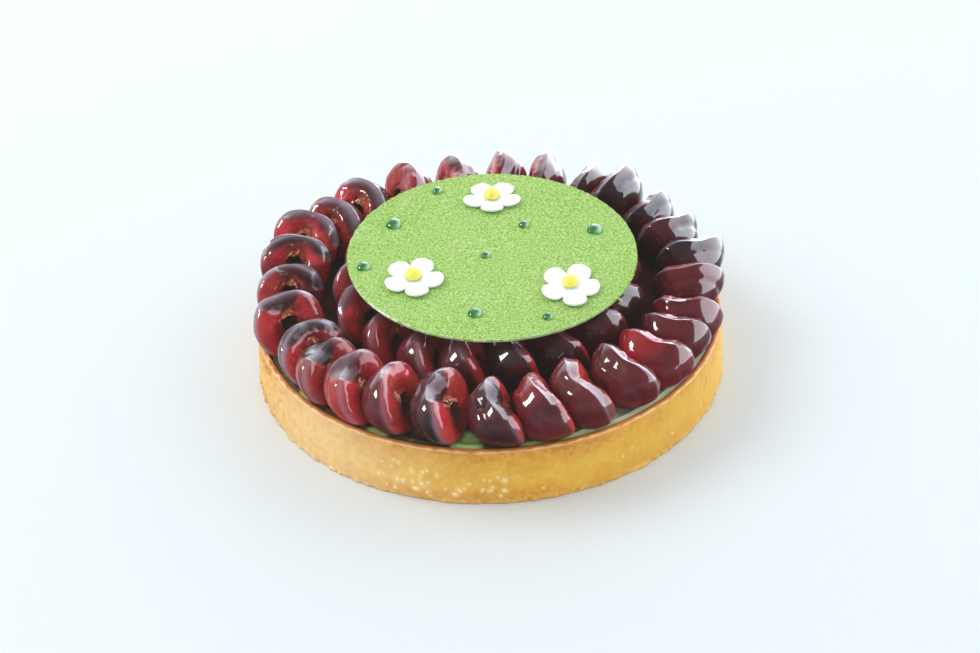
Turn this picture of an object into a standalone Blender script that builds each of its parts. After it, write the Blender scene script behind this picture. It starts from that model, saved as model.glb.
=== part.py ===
"""Cherry tart.

A straight-sided pastry shell holds a pale green pistachio cream.  Two rings of halved
cherries stand on edge on the cream, each half leaning on the one behind it, and all their
cut faces look the same way round the tart.  The inner ring carries a thin velvety green
disc with eight drops of gel and three white sugar flowers with yellow centres.

Units are metres, +Z is up, and the origin is on the table under the shell's centre.
"""

import math
import random
from collections import namedtuple

import bmesh
import bpy
from mathutils import Matrix, Vector

MM = 0.001
GAP = 0.3 * MM                  # left between pieces that rest on each other

# Pastry shell, baked in a ring 16 cm wide and 2 cm high
SHELL_RADIUS = 79.9 * MM
SHELL_DRAFT = 0.9 * MM          # the wall leans in by this much from base to rim
SHELL_HEIGHT = 20.5 * MM
WALL_THICKNESS = 2.2 * MM
FLOOR_THICKNESS = 3.0 * MM
RIM_ROUNDING = 0.7 * MM
FOOT_HEIGHT = 1.2 * MM          # the rough edge that stood on the baking sheet
FOOT_FLARE = 0.35 * MM
RIM_UNEVENNESS = 0.25 * MM
SHELL_SEGMENTS = 96

# Pistachio cream
CREAM_TOP = 18.5 * MM
CREAM_EDGE_DROP = 0.7 * MM
CREAM_SEGMENTS = 64

# Cherry halves
RING_SPLIT = 54.3 * MM          # the outer ring's inner ends and the inner ring's outer ends
SPLIT_GAP = 0.3 * MM
HALF_DEPTH = 0.58               # thickness of a half as a share of its width
STONE_REACH = 0.49              # width of the stone's hollow as a share of the half
STONE_DEPTH = 0.52              # depth of the hollow as a share of the half's thickness
OUTLINE_POWER = 2.15            # 2 is an ellipse, more is squarer
DOME_POWER = 2.25
OVAL_SHARE = 0.03               # how uneven an outline is: one long axis
LOBE_SHARE = 0.025              # and three soft corners
CROWN_SHARE = 0.12              # how far the dome's top wanders, as a share of the radius
RIM_ROLL = 0.16                 # the skin rolls over the rim by this share of the thickness
STEM_ANGLE = 90                 # the stem's notch is at the top, degrees
STEM_WANDER = 16
NOTCH_SPREAD = 27
NOTCH_GROOVE = 1.3              # how much deeper than wide the notch cuts into the rim
NOTCH_RIDGE = 0.7               # and how its groove fades over the skin
PEAK_ANGLE = 80
PEAK_SPREAD = 32
SINK = 0.7 * MM                 # a half's underside is pressed flat by this much
RIM_CLEAR_RADIUS = 75.0 * MM    # the outer ends clear the pastry rim: radius on the cream,
RIM_CLEAR_SLOPE = 1.0           # and how fast it may widen with height

# Green disc and what lies on it
DISC_CENTRE_X = 1.6 * MM
DISC_TOP = 42.9 * MM
DISC_RADIUS = 48.7 * MM
DISC_THICKNESS = 1.0 * MM
DISC_BEVEL = 0.15 * MM
DISC_SLOPE_X = -0.014           # rise of the disc per unit of length
DISC_SLOPE_Y = 0.020
DISC_SEGMENTS = 72

FLOWER_SPAN = 20.8 * MM
PETAL_WIDTH = 8.6 * MM
PETAL_THICKNESS = 2.0 * MM
PETAL_DISH = 0.75               # height of the petals' middle as a share of their thickness
PETAL_CURL = 0.8 * MM           # how far a petal's tip bends up
PETALS = 5
PETAL_UNEVENNESS = 0.05
PETAL_SEGMENTS = 6              # round the outline of one petal
CENTRE_WIDTH = 5.3 * MM
CENTRE_HEIGHT = 3.0 * MM
CENTRE_SEGMENTS = 14

DROP_SEGMENTS = 10
DROP_HEIGHT = 0.45              # share of the drop's width
DROP_SINK = 0.5 * MM            # how far a drop's body reaches into the disc before joining

# One half: cut is the angle of its cut face round the tart, lean is how far the cut looks
# up and turn how far it looks inwards, in degrees.  reach is the radius on which it
# stands, width lies along that radius and height up the cut face, in millimetres.  notch
# is the depth of the stem's notch and peak the height of a pointed top, as shares of the
# half's radius.
Half = namedtuple("Half", "cut reach width height lean turn notch peak")

OUTER_HALVES = (
    Half(246, 68.0, 25.5, 26.0, 17, 0, 0.14, 0.00),
    Half(260, 69.0, 27.0, 26.5, 15, -9, 0.22, 0.00),
    Half(275, 69.0, 26.0, 25.0, 19, 7, 0.20, 0.00),
    Half(287, 69.0, 27.0, 25.5, 20, 6, 0.10, 0.08),
    Half(299, 68.0, 28.0, 26.5, 20, -4, 0.24, 0.04),
    Half(313, 67.5, 26.5, 26.0, 18, 0, 0.16, 0.00),
    Half(326, 67.0, 27.5, 25.5, 20, 5, 0.20, 0.00),
    Half(337, 67.5, 25.5, 25.0, 20, 4, 0.18, 0.00),
    Half(347, 68.5, 26.0, 24.5, 20, 0, 0.22, 0.00),
    Half(2, 67.5, 25.5, 25.0, 20, 0, 0.12, 0.00),
    Half(14, 70.5, 26.0, 26.0, 18, 4, 0.20, 0.00),
    Half(27, 68.5, 25.5, 25.5, 18, 2, 0.20, 0.04),
    Half(39, 69.0, 23.5, 24.5, 18, 8, 0.16, 0.00),
    Half(53, 70.0, 27.0, 27.5, 16, 0, 0.10, 0.00),
    Half(62, 68.0, 25.0, 25.0, 16, 3, 0.14, 0.04),
    Half(76, 68.0, 23.5, 24.5, 16, 6, 0.06, 0.00),
    Half(89, 67.0, 25.0, 24.0, 16, -4, 0.00, 0.10),
    Half(103, 67.0, 25.0, 22.5, 16, 0, 0.12, 0.06),
    Half(118, 67.5, 24.5, 25.0, 17, -5, 0.06, 0.00),
    Half(133, 68.0, 26.5, 24.5, 17, 4, 0.14, 0.00),
    Half(145, 67.5, 24.0, 24.5, 17, -3, 0.16, 0.00),
    Half(156, 70.0, 25.5, 26.0, 17, 4, 0.14, 0.00),
    Half(168, 68.0, 26.5, 25.5, 18, 4, 0.18, 0.00),
    Half(182, 67.0, 25.0, 24.0, 18, 0, 0.14, 0.00),
    Half(197, 69.0, 26.5, 25.5, 18, 1, 0.08, 0.00),
    Half(213, 67.5, 25.5, 25.0, 17, -4, 0.14, 0.00),
    Half(223, 68.5, 25.0, 25.0, 17, 0, 0.16, 0.00),
    Half(235, 69.0, 26.0, 26.5, 17, 2, 0.14, 0.00),
)
OUTER_RING_SHAPE = (14, (0.20, 0.38, 0.50, 0.90), (0.94, 0.74, 0.42))

INNER_COUNT = 17
INNER_FIRST_CUT = 139
INNER_REACH = 42.0
INNER_WIDTH = 24.0
INNER_HEIGHT = 24.6
INNER_LEAN = 18
INNER_NOTCH = 0.14
INNER_RING_SHAPE = (12, (0.24, 0.50, 0.90), (0.93, 0.72, 0.40))

# heading is the way one petal points, stretch how much longer the flower is front to back
Flower = namedtuple("Flower", "name x y heading stretch")
FLOWERS = (
    Flower("left", -26.3, -15.0, 63, 1.08),
    Flower("right", 25.2, -21.3, 63, 1.16),
    Flower("back", 0.7, 31.8, 52, 0.90),
)

Drop = namedtuple("Drop", "x y width")
DROPS = (
    Drop(-18.1, 38.0, 4.5),
    Drop(-32.8, 17.9, 6.1),
    Drop(-42.8, -6.6, 4.7),
    Drop(11.3, 15.8, 4.5),
    Drop(35.2, 11.8, 5.4),
    Drop(-2.1, -1.8, 4.0),
    Drop(-6.2, -34.3, 5.0),
    Drop(17.3, -37.2, 4.5),
)


def clear_scene():
    for item in list(bpy.data.objects):
        bpy.data.objects.remove(item, do_unlink=True)


def finish(name, colour, roughness, coat=0.0):
    material = bpy.data.materials.new(name)
    material.use_nodes = True
    material.diffuse_color = (*colour, 1.0)
    shader = material.node_tree.nodes["Principled BSDF"]
    shader.inputs["Base Color"].default_value = (*colour, 1.0)
    shader.inputs["Roughness"].default_value = roughness
    shader.inputs["Metallic"].default_value = 0.0
    shader.inputs["Coat Weight"].default_value = coat
    return material


def circle(radius, height, segments):
    """Points of a level circle round the Z axis."""
    step = math.tau / segments
    return [Vector((radius * math.cos(i * step), radius * math.sin(i * step), height))
            for i in range(segments)]


def closed_body(name, first_tip, rings, last_tip, sharp_angle=40):
    """One closed mesh from a tip through rings of equal count to another tip."""
    bm = bmesh.new()
    first = bm.verts.new(first_tip)
    loops = [[bm.verts.new(point) for point in ring] for ring in rings]
    last = bm.verts.new(last_tip)
    count = len(loops[0])
    for i in range(count):
        j = (i + 1) % count
        bm.faces.new((first, loops[0][j], loops[0][i]))
        for lower, upper in zip(loops, loops[1:]):
            bm.faces.new((lower[i], lower[j], upper[j], upper[i]))
        bm.faces.new((last, loops[-1][i], loops[-1][j]))
    bmesh.ops.triangulate(bm, faces=bm.faces)
    if bm.calc_volume(signed=True) < 0:
        bmesh.ops.reverse_faces(bm, faces=bm.faces)
    mesh = bpy.data.meshes.new(name)
    bm.to_mesh(mesh)
    bm.free()
    mesh.shade_smooth()
    mesh.set_sharp_from_angle(angle=math.radians(sharp_angle))
    return mesh


def place(name, mesh, material, parent=None, matrix=None):
    body = bpy.data.objects.new(name, mesh)
    bpy.context.scene.collection.objects.link(body)
    mesh.materials.clear()
    mesh.materials.append(material)
    if parent is not None:
        body.parent = parent
    if matrix is not None:
        body.location = matrix.to_translation()
        body.rotation_euler = matrix.to_euler()
    return body


def pastry_shell(material):
    """A turned cup whose rim is a little uneven and whose foot is rough."""
    draw = random.Random(11)
    rim_radius = SHELL_RADIUS - SHELL_DRAFT
    inner_radius = rim_radius - WALL_THICKNESS
    profile = (
        (SHELL_RADIUS - 1.3 * MM, 0.0, 0.0, 0.0),
        (SHELL_RADIUS + FOOT_FLARE, 0.45 * FOOT_HEIGHT, 0.25 * MM, 0.15 * MM),
        (SHELL_RADIUS, 2.0 * FOOT_HEIGHT, 0.08 * MM, 0.3 * MM),
        (rim_radius, SHELL_HEIGHT - RIM_ROUNDING, 0.08 * MM, 0.0),
        (rim_radius - RIM_ROUNDING, SHELL_HEIGHT, 0.08 * MM, RIM_UNEVENNESS),
        (inner_radius + RIM_ROUNDING, SHELL_HEIGHT, 0.08 * MM, RIM_UNEVENNESS),
        (inner_radius, SHELL_HEIGHT - RIM_ROUNDING, 0.0, 0.0),
        (inner_radius, FLOOR_THICKNESS, 0.0, 0.0),
    )
    rings = []
    for radius, height, rough_radius, rough_height in profile:
        ring = circle(1.0, 0.0, SHELL_SEGMENTS)
        for point in ring:
            reach = radius + draw.uniform(-rough_radius, rough_radius)
            point.z = height + draw.uniform(-rough_height, rough_height)
            point.x *= reach
            point.y *= reach
        rings.append(ring)
    mesh = closed_body("crust", (0, 0, 0), rings, (0, 0, FLOOR_THICKNESS))
    return place("crust", mesh, material)


def pistachio_cream(material):
    """The filling: level, sunk a little where it meets the wall."""
    edge = SHELL_RADIUS - SHELL_DRAFT - WALL_THICKNESS - GAP
    floor = FLOOR_THICKNESS + GAP
    rings = [
        circle(edge, floor, CREAM_SEGMENTS),
        circle(edge, CREAM_TOP - CREAM_EDGE_DROP, CREAM_SEGMENTS),
        circle(edge - 2.0 * MM, CREAM_TOP, CREAM_SEGMENTS),
    ]
    mesh = closed_body("cream", (0, 0, floor), rings, (0, 0, CREAM_TOP))
    return place("cream", mesh, material)


def half_matrix(half):
    """Frame of a half: X out along the cut, Y up along it, Z into the skin's dome."""
    angle = math.radians(half.cut)
    turned = angle + math.radians(half.turn)
    lean = math.radians(half.lean)
    outward = Vector((math.cos(turned), math.sin(turned), 0.0))
    along = Vector((-math.sin(turned), math.cos(turned), 0.0))
    up = Vector((0.0, 0.0, 1.0))
    normal = along * math.cos(lean) + up * math.sin(lean)
    rise = up * math.cos(lean) - along * math.sin(lean)
    matrix = Matrix((outward, rise, -normal)).transposed().to_4x4()
    height = CREAM_TOP + GAP - SINK + 0.5 * half.height * MM * math.cos(lean)
    reach = half.reach * MM
    matrix.translation = (reach * math.cos(angle), reach * math.sin(angle), height)
    return matrix


def half_rings(half, ring_shape, draw):
    """Rings of one half in its own frame, from the stone's hollow over the rim to the skin."""
    segments, face_reaches, dome_reaches = ring_shape
    radius_x = 0.5 * half.width * MM
    radius_y = 0.5 * half.height * MM
    depth = HALF_DEPTH * half.width * MM
    stem = math.radians(STEM_ANGLE + draw.uniform(-STEM_WANDER, STEM_WANDER))
    oval_heading = draw.uniform(0, math.pi)
    lobe_heading = draw.uniform(0, math.tau)
    crown_x = draw.uniform(-CROWN_SHARE, CROWN_SHARE) * radius_x
    crown_y = draw.uniform(-CROWN_SHARE, CROWN_SHARE) * radius_y

    def outline(angle):
        side = (abs(math.cos(angle)) / radius_x) ** OUTLINE_POWER
        top = (abs(math.sin(angle)) / radius_y) ** OUTLINE_POWER
        radius = (side + top) ** (-1.0 / OUTLINE_POWER)
        radius *= 1.0 + OVAL_SHARE * math.cos(2 * (angle - oval_heading))
        radius *= 1.0 + LOBE_SHARE * math.cos(3 * (angle - lobe_heading))
        return radius * (1.0 + half.peak * near(angle, math.radians(PEAK_ANGLE), PEAK_SPREAD))

    def ring(reach, level, notch, groove, crown_share):
        points = []
        for i in range(segments):
            angle = stem + math.tau * i / segments
            close = near(angle, stem, NOTCH_SPREAD) * half.notch
            radius = reach * outline(angle) * (1.0 - notch * close)
            x = radius * math.cos(angle) + crown_share * crown_x
            y = radius * math.sin(angle) + crown_share * crown_y
            points.append(Vector((x, y, level + groove * close * depth)))
        return points

    hollow = STONE_DEPTH * depth
    rings = []
    for reach in face_reaches:
        inside = max(0.0, 1.0 - (reach / STONE_REACH) ** 3)
        rings.append(ring(reach, hollow * inside, reach, NOTCH_GROOVE * reach, 0.0))
    rings.append(ring(1.0, RIM_ROLL * depth, 1.0, NOTCH_GROOVE, 0.0))
    for reach in dome_reaches:
        level = depth * (1.0 - reach ** DOME_POWER) ** (1.0 / DOME_POWER)
        share = 1.0 - reach
        rings.append(ring(reach, level, reach, -NOTCH_RIDGE * reach * share, share))
    return Vector((0, 0, hollow)), rings, Vector((crown_x, crown_y, depth))


def near(angle, target, spread):
    """1 at the target angle, falling to 0 over about spread degrees."""
    away = (angle - target + math.pi) % math.tau - math.pi
    return math.exp(-(away / math.radians(spread)) ** 2)


def disc_matrix():
    tilt_x = math.atan(DISC_SLOPE_Y)
    tilt_y = -math.atan(DISC_SLOPE_X)
    matrix = Matrix.Rotation(tilt_y, 4, "Y") @ Matrix.Rotation(tilt_x, 4, "X")
    matrix.translation = (DISC_CENTRE_X, 0.0, DISC_TOP)
    return matrix


def half_mesh(name, half, matrix, behind, ring_shape, inner, draw):
    """A half, pressed flat where it meets the cut face behind it and what it stands on."""
    first, rings, last = half_rings(half, ring_shape, draw)
    to_half = matrix.inverted()
    to_behind = behind.inverted()
    to_disc = disc_matrix().inverted()
    from_behind = to_behind.inverted()
    from_disc = to_disc.inverted()

    def fit(point):
        seen = to_behind @ (matrix @ point)
        seen.z = min(seen.z, -GAP)
        spot = from_behind @ seen
        radius = math.hypot(spot.x, spot.y)
        allowed = RIM_CLEAR_RADIUS + RIM_CLEAR_SLOPE * (spot.z - CREAM_TOP)
        if inner:
            wanted = min(radius, RING_SPLIT - SPLIT_GAP)
        else:
            wanted = min(max(radius, RING_SPLIT + SPLIT_GAP), allowed)
        spot.x *= wanted / radius
        spot.y *= wanted / radius
        spot.z = max(spot.z, CREAM_TOP + GAP)
        if inner:
            on_disc = to_disc @ spot
            on_disc.z = min(on_disc.z, -DISC_THICKNESS - GAP)
            spot = from_disc @ on_disc
        return to_half @ spot

    rings = [[fit(point) for point in ring] for ring in rings]
    return closed_body(name, first, rings, fit(last), sharp_angle=60)


def ring_of_halves(prefix, halves, ring_shape, material, inner):
    matrices = [half_matrix(half) for half in halves]
    for index, half in enumerate(halves):
        name = f"{prefix}_{index + 1:02d}"
        draw = random.Random(f"{prefix} {index}")
        mesh = half_mesh(name, half, matrices[index], matrices[index - 1], ring_shape,
                         inner, draw)
        place(name, mesh, material, matrix=matrices[index])


def inner_halves():
    """The inner ring, evenly spaced with small seeded differences."""
    draw = random.Random(5)
    halves = []
    for index in range(INNER_COUNT):
        cut = INNER_FIRST_CUT + 360.0 * index / INNER_COUNT + draw.uniform(-1.5, 1.5)
        halves.append(Half(cut, INNER_REACH, INNER_WIDTH + draw.uniform(-1.0, 1.0),
                           INNER_HEIGHT + draw.uniform(-0.4, 1.0),
                           INNER_LEAN + draw.uniform(-2, 2), draw.uniform(-4, 4),
                           INNER_NOTCH + draw.uniform(-0.08, 0.08), 0.0))
    return halves


def drop_body(name, drop):
    width = drop.width * MM
    height = DROP_HEIGHT * width
    rings = [circle(0.5 * width, -DROP_SINK, DROP_SEGMENTS)]
    for share in (0.12, 0.55, 0.86):
        reach = 0.5 * width * math.sqrt(1.0 - share ** 2)
        rings.append(circle(reach, height * share, DROP_SEGMENTS))
    mesh = closed_body(name, (0, 0, -DROP_SINK), rings, (0, 0, height))
    mesh.transform(Matrix.Translation((drop.x * MM, drop.y * MM, 0.0)))
    return mesh


def disc_with_drops(material, plane):
    """The thin disc and its drops of gel, joined into one body."""
    rings = [
        circle(DISC_RADIUS - DISC_BEVEL, -DISC_THICKNESS, DISC_SEGMENTS),
        circle(DISC_RADIUS, DISC_BEVEL - DISC_THICKNESS, DISC_SEGMENTS),
        circle(DISC_RADIUS, -DISC_BEVEL, DISC_SEGMENTS),
        circle(DISC_RADIUS - DISC_BEVEL, 0.0, DISC_SEGMENTS),
    ]
    mesh = closed_body("disc", (0, 0, -DISC_THICKNESS), rings, (0, 0, 0))
    disc = place("disc", mesh, material)
    drops = bpy.data.collections.new("drops")
    bpy.context.scene.collection.children.link(drops)
    for index, drop in enumerate(DROPS):
        name = f"drop_{index + 1}"
        drops.objects.link(bpy.data.objects.new(name, drop_body(name, drop)))
    union = disc.modifiers.new("union", "BOOLEAN")
    union.operation = "UNION"
    union.operand_type = "COLLECTION"
    union.collection = drops
    union.solver = "EXACT"
    graph = bpy.context.evaluated_depsgraph_get()
    joined = bpy.data.meshes.new_from_object(disc.evaluated_get(graph))
    disc.modifiers.clear()
    disc.data = joined
    joined.shade_smooth()
    joined.set_sharp_from_angle(angle=math.radians(25))
    joined.materials.clear()
    joined.materials.append(material)
    for body in list(drops.objects):
        bpy.data.objects.remove(body, do_unlink=True)
    bpy.data.collections.remove(drops)
    disc.parent = plane
    return disc


def petals_mesh(name, flower, draw):
    """Five round petals that run together, thick and soft-edged, their tips bent up."""
    petal_radius = 0.5 * PETAL_WIDTH
    petal_reach = 0.5 * FLOWER_SPAN - petal_radius
    sizes = [1.0 + draw.uniform(-PETAL_UNEVENNESS, PETAL_UNEVENNESS) for _ in range(PETALS)]
    segments = PETALS * PETAL_SEGMENTS
    heading = math.radians(flower.heading)

    def ring(share, height, valley):
        points = []
        for i in range(segments):
            petal = i // PETAL_SEGMENTS
            off = math.tau * ((i + 0.5) / segments - (petal + 0.5) / PETALS)
            reach = petal_reach * math.cos(off)
            reach += math.sqrt(petal_radius ** 2 - (petal_reach * math.sin(off)) ** 2)
            reach *= share * sizes[petal]
            angle = heading + math.tau * petal / PETALS + off
            level = height - valley * (abs(off) * PETALS / math.pi) ** 2
            points.append(Vector((reach * math.cos(angle),
                                  flower.stretch * reach * math.sin(angle), level)))
        return points

    top = PETAL_THICKNESS
    curl = PETAL_CURL
    dish = GAP + PETAL_DISH * top
    rings = [
        ring(0.45, GAP, 0.0),
        ring(0.92, GAP + 0.8 * curl, 0.0),
        ring(1.00, GAP + curl + 0.40 * top, 0.20 * top),
        ring(0.90, GAP + curl + 0.85 * top, 0.40 * top),
        ring(0.62, GAP + 0.5 * curl + top, 0.40 * top),
        ring(0.28, dish, 0.0),
    ]
    return closed_body(name, (0, 0, GAP), rings, (0, 0, dish))


def centre_mesh(name):
    """The yellow middle of a flower: a low dome in the petals' dish."""
    base = 2 * GAP + PETAL_DISH * PETAL_THICKNESS
    rings = [circle(0.45 * CENTRE_WIDTH, base, CENTRE_SEGMENTS)]
    for share in (0.15, 0.60, 0.90):
        reach = 0.5 * CENTRE_WIDTH * math.sqrt(1.0 - share ** 2)
        rings.append(circle(reach, base + share * CENTRE_HEIGHT, CENTRE_SEGMENTS))
    return closed_body(name, (0, 0, base), rings, (0, 0, base + CENTRE_HEIGHT))


def flowers(petal_material, centre_material, plane):
    for index, flower in enumerate(FLOWERS):
        spot = Matrix.Translation((flower.x * MM, flower.y * MM, 0.0))
        name = f"flower_{flower.name}"
        petals = petals_mesh(name, flower, random.Random(index))
        place(name, petals, petal_material, plane, spot)
        name = f"flower_centre_{flower.name}"
        place(name, centre_mesh(name), centre_material, plane, spot)


def main():
    clear_scene()
    pastry_shell(finish("pastry", (0.66, 0.37, 0.10), 0.75))
    pistachio_cream(finish("pistachio_cream", (0.42, 0.52, 0.22), 0.45))
    cherry = finish("glazed_cherry", (0.16, 0.010, 0.014), 0.12, coat=1.0)
    ring_of_halves("cherry_outer", OUTER_HALVES, OUTER_RING_SHAPE, cherry, inner=False)
    ring_of_halves("cherry_inner", inner_halves(), INNER_RING_SHAPE, cherry, inner=True)
    plane = bpy.data.objects.new("disc_plane", None)
    bpy.context.scene.collection.objects.link(plane)
    tilt = disc_matrix()
    plane.location = tilt.to_translation()
    plane.rotation_euler = tilt.to_euler()
    disc_with_drops(finish("velvet_disc", (0.42, 0.66, 0.17), 0.95), plane)
    flowers(finish("white_sugar", (0.88, 0.90, 0.88), 0.5),
            finish("yellow_sugar", (0.90, 0.78, 0.16), 0.55), plane)
    bpy.context.view_layer.update()


main()
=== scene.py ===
"""Cherry tart: the finish of every surface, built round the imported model.

The file is laid out as an add-on.  Each operator makes one piece or a group of like pieces,
and the panel in the 3D view's sidebar lists them with their sizes and colours.
"""

import math
import random
from typing import NamedTuple

import bpy
import numpy as np
from bpy.props import FloatProperty, FloatVectorProperty, IntProperty, PointerProperty
from mathutils import Matrix, Vector, noise


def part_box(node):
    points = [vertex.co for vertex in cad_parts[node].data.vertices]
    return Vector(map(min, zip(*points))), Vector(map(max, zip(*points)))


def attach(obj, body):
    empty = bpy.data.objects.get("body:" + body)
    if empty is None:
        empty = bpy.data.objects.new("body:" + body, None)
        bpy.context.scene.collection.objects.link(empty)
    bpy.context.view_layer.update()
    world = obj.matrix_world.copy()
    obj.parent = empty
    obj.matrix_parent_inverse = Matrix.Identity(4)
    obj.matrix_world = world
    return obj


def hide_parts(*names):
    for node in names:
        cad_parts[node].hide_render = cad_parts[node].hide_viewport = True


bl_info = {
    "name": "Cherry tart",
    "version": (1, 0, 0),
    "blender": (4, 5, 0),
    "location": "3D View > Sidebar > Tart",
    "description": "Builds a glazed cherry tart with a velvet disc and sugar flowers",
    "category": "Add Mesh",
}

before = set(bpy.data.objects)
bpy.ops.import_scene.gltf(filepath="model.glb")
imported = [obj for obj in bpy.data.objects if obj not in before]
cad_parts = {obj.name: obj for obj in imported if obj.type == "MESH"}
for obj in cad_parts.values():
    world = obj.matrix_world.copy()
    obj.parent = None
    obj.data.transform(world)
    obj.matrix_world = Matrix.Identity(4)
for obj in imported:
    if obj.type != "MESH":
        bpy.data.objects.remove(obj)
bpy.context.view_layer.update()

MM = 0.001
FAR = 9.0       # stands for out of reach


# ---------------------------------------------------------------- selecting and editing


def deselect():
    if bpy.context.mode != "OBJECT":
        bpy.ops.object.mode_set(mode="OBJECT")
    bpy.ops.object.select_all(action="DESELECT")


def pick(piece):
    """Select this piece alone and make it active."""
    deselect()
    piece.select_set(True)
    bpy.context.view_layer.objects.active = piece


def added(name):
    """Name the primitive that was just added."""
    piece = bpy.context.active_object
    piece.name = name
    piece.data.name = name
    return piece


def new_object(name, data):
    piece = bpy.data.objects.new(name, data)
    bpy.context.scene.collection.objects.link(piece)
    return piece


def edit(piece, action="SELECT"):
    """Enter edit mode with everything selected, or nothing for DESELECT."""
    pick(piece)
    bpy.ops.object.mode_set(mode="EDIT")
    bpy.ops.mesh.select_all(action=action)


def leave_edit():
    bpy.ops.object.mode_set(mode="OBJECT")


def close_up(piece):
    """Merge doubles and turn every face outwards."""
    edit(piece)
    bpy.ops.mesh.remove_doubles(threshold=0.00001)
    bpy.ops.mesh.normals_make_consistent(inside=False)
    leave_edit()


def select_rim(piece):
    """Enter edit mode with the open edges selected."""
    edit(piece, "DESELECT")
    bpy.ops.mesh.select_mode(type="EDGE")
    bpy.ops.mesh.select_non_manifold()


def close_rim(piece, rings=0, share=0.5):
    """Fill the selected rim: rings that each shrink to this share, and a last one to a point."""
    for _ in range(rings):
        bpy.ops.mesh.extrude_region_move()
        bpy.ops.transform.resize(value=(share, share, 1))
    bpy.ops.mesh.extrude_region_move()
    bpy.ops.mesh.merge(type="CENTER")
    leave_edit()
    close_up(piece)


def apply_modifier(piece, kind, **values):
    pick(piece)
    modifier = piece.modifiers.new(kind.lower(), kind)
    for key, value in values.items():
        setattr(modifier, key, value)
    bpy.ops.object.modifier_apply(modifier=modifier.name)


def subdivide(piece, levels):
    apply_modifier(piece, "SUBSURF", levels=levels, render_levels=levels)


def set_in_place(piece):
    """Leave the object at the origin, with its place in its mesh."""
    pick(piece)
    bpy.ops.object.transform_apply(location=True, rotation=True, scale=True)


def smooth(piece, degrees=180):
    pick(piece)
    bpy.ops.object.shade_smooth_by_angle(angle=math.radians(degrees))


def dress(piece, material, nodes=()):
    """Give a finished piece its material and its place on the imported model."""
    piece.data.materials.clear()
    piece.data.materials.append(material)
    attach(piece, "root")
    if nodes:
        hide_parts(*nodes)
    deselect()


def turned(name, profile, segments):
    """A body turned round Z: a circle extruded through the profile's (radius, height) points."""
    deselect()
    radius, height = profile[0]
    bpy.ops.mesh.primitive_circle_add(vertices=segments, radius=radius, location=(0, 0, height))
    piece = added(name)
    set_in_place(piece)
    edit(piece)
    for next_radius, next_height in profile[1:]:
        rise = {"value": (0, 0, next_height - height)}
        bpy.ops.mesh.extrude_region_move(TRANSFORM_OT_translate=rise)
        if next_radius == 0:
            bpy.ops.mesh.merge(type="CENTER")
        else:
            share = next_radius / radius
            bpy.ops.transform.resize(value=(share, share, 1))
        radius, height = next_radius, next_height
    leave_edit()
    return piece


def ball(name, segments, rings, radius):
    deselect()
    bpy.ops.mesh.primitive_uv_sphere_add(segments=segments, ring_count=rings, radius=radius)
    return added(name)


def pebble(name, subdivisions, radius):
    deselect()
    bpy.ops.mesh.primitive_ico_sphere_add(subdivisions=subdivisions, radius=radius)
    return added(name)


def joined(pieces, name):
    """Several objects as one."""
    deselect()
    for piece in pieces:
        piece.select_set(True)
    bpy.context.view_layer.objects.active = pieces[0]
    bpy.ops.object.join()
    return added(name)


def new_curve(name, thickness, roundness):
    """An empty curve with a round section and closed ends."""
    curve = bpy.data.curves.new(name, "CURVE")
    curve.dimensions = "3D"
    curve.bevel_depth = 0.5 * thickness
    curve.bevel_resolution = roundness
    curve.use_fill_caps = True
    return curve


def add_spline(curve, spots):
    """A soft line along spots of (place, share of the curve's thickness)."""
    spline = curve.splines.new("NURBS")
    spline.points.add(len(spots) - 1)
    for point, (place, share) in zip(spline.points, spots):
        point.co = (*place, 1.0)
        point.radius = share
    spline.order_u = 3
    spline.use_endpoint_u = True


def mesh_of(curve):
    piece = new_object(curve.name, curve)
    pick(piece)
    bpy.ops.object.convert(target="MESH")
    return piece


# ---------------------------------------------------------------- points as arrays


def points_of(piece):
    places = np.zeros(len(piece.data.vertices) * 3)
    piece.data.vertices.foreach_get("co", places)
    return places.reshape(-1, 3)


def normals_of(piece):
    normals = np.zeros(len(piece.data.vertices) * 3)
    piece.data.vertices.foreach_get("normal", normals)
    return normals.reshape(-1, 3)


def put_points(piece, places):
    piece.data.vertices.foreach_set("co", places.ravel())
    piece.data.update()


def put_values(piece, name, values):
    made = piece.data.attributes.new(name, "FLOAT", "POINT")
    made.data.foreach_set("value", values.astype(np.float32))


def put_vectors(piece, name, vectors):
    made = piece.data.attributes.new(name, "FLOAT_VECTOR", "POINT")
    made.data.foreach_set("vector", vectors.astype(np.float32).ravel())


def values_of(piece, name):
    values = np.zeros(len(piece.data.vertices), np.float32)
    piece.data.attributes[name].data.foreach_get("value", values)
    return values


def put_masks(piece, **masks):
    """Store numbers of 0 to 1 for each point, which the materials read by their names."""
    for name, values in masks.items():
        put_values(piece, name, np.clip(values, 0.0, 1.0))


def ramp(values, low, high):
    """0 at low and 1 at high, smooth between."""
    share = np.clip((values - low) / (high - low), 0.0, 1.0)
    return share * share * (3.0 - 2.0 * share)


def hump(values, width, power=2):
    """1 at 0, falling off on both sides over this width."""
    return np.exp(-np.abs(values / width) ** power)


def apart(angles, middle):
    """How far angles are from a middle one, all in degrees: -180 to 180."""
    return (angles - middle + 180) % 360 - 180


def waves(places, size, seed, octaves=2):
    """Soft noise of about -1 to 1, with lumps of this size in metres."""
    shift = Vector((seed * 7.3, seed * 3.1, seed * 5.7))
    return np.array([noise.fractal(Vector(p) / size + shift, 1.0, 2.0, octaves) for p in places])


def polar(places):
    """(angle round Z in degrees, distance from Z) of each point."""
    return (np.degrees(np.arctan2(places[:, 1], places[:, 0])),
            np.hypot(places[:, 0], places[:, 1]))


def push_out(places, reach, push):
    """Move points away from Z; reach is how far from it they are."""
    places[:, :2] *= (1.0 + push / np.maximum(reach, MM))[:, None]


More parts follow.
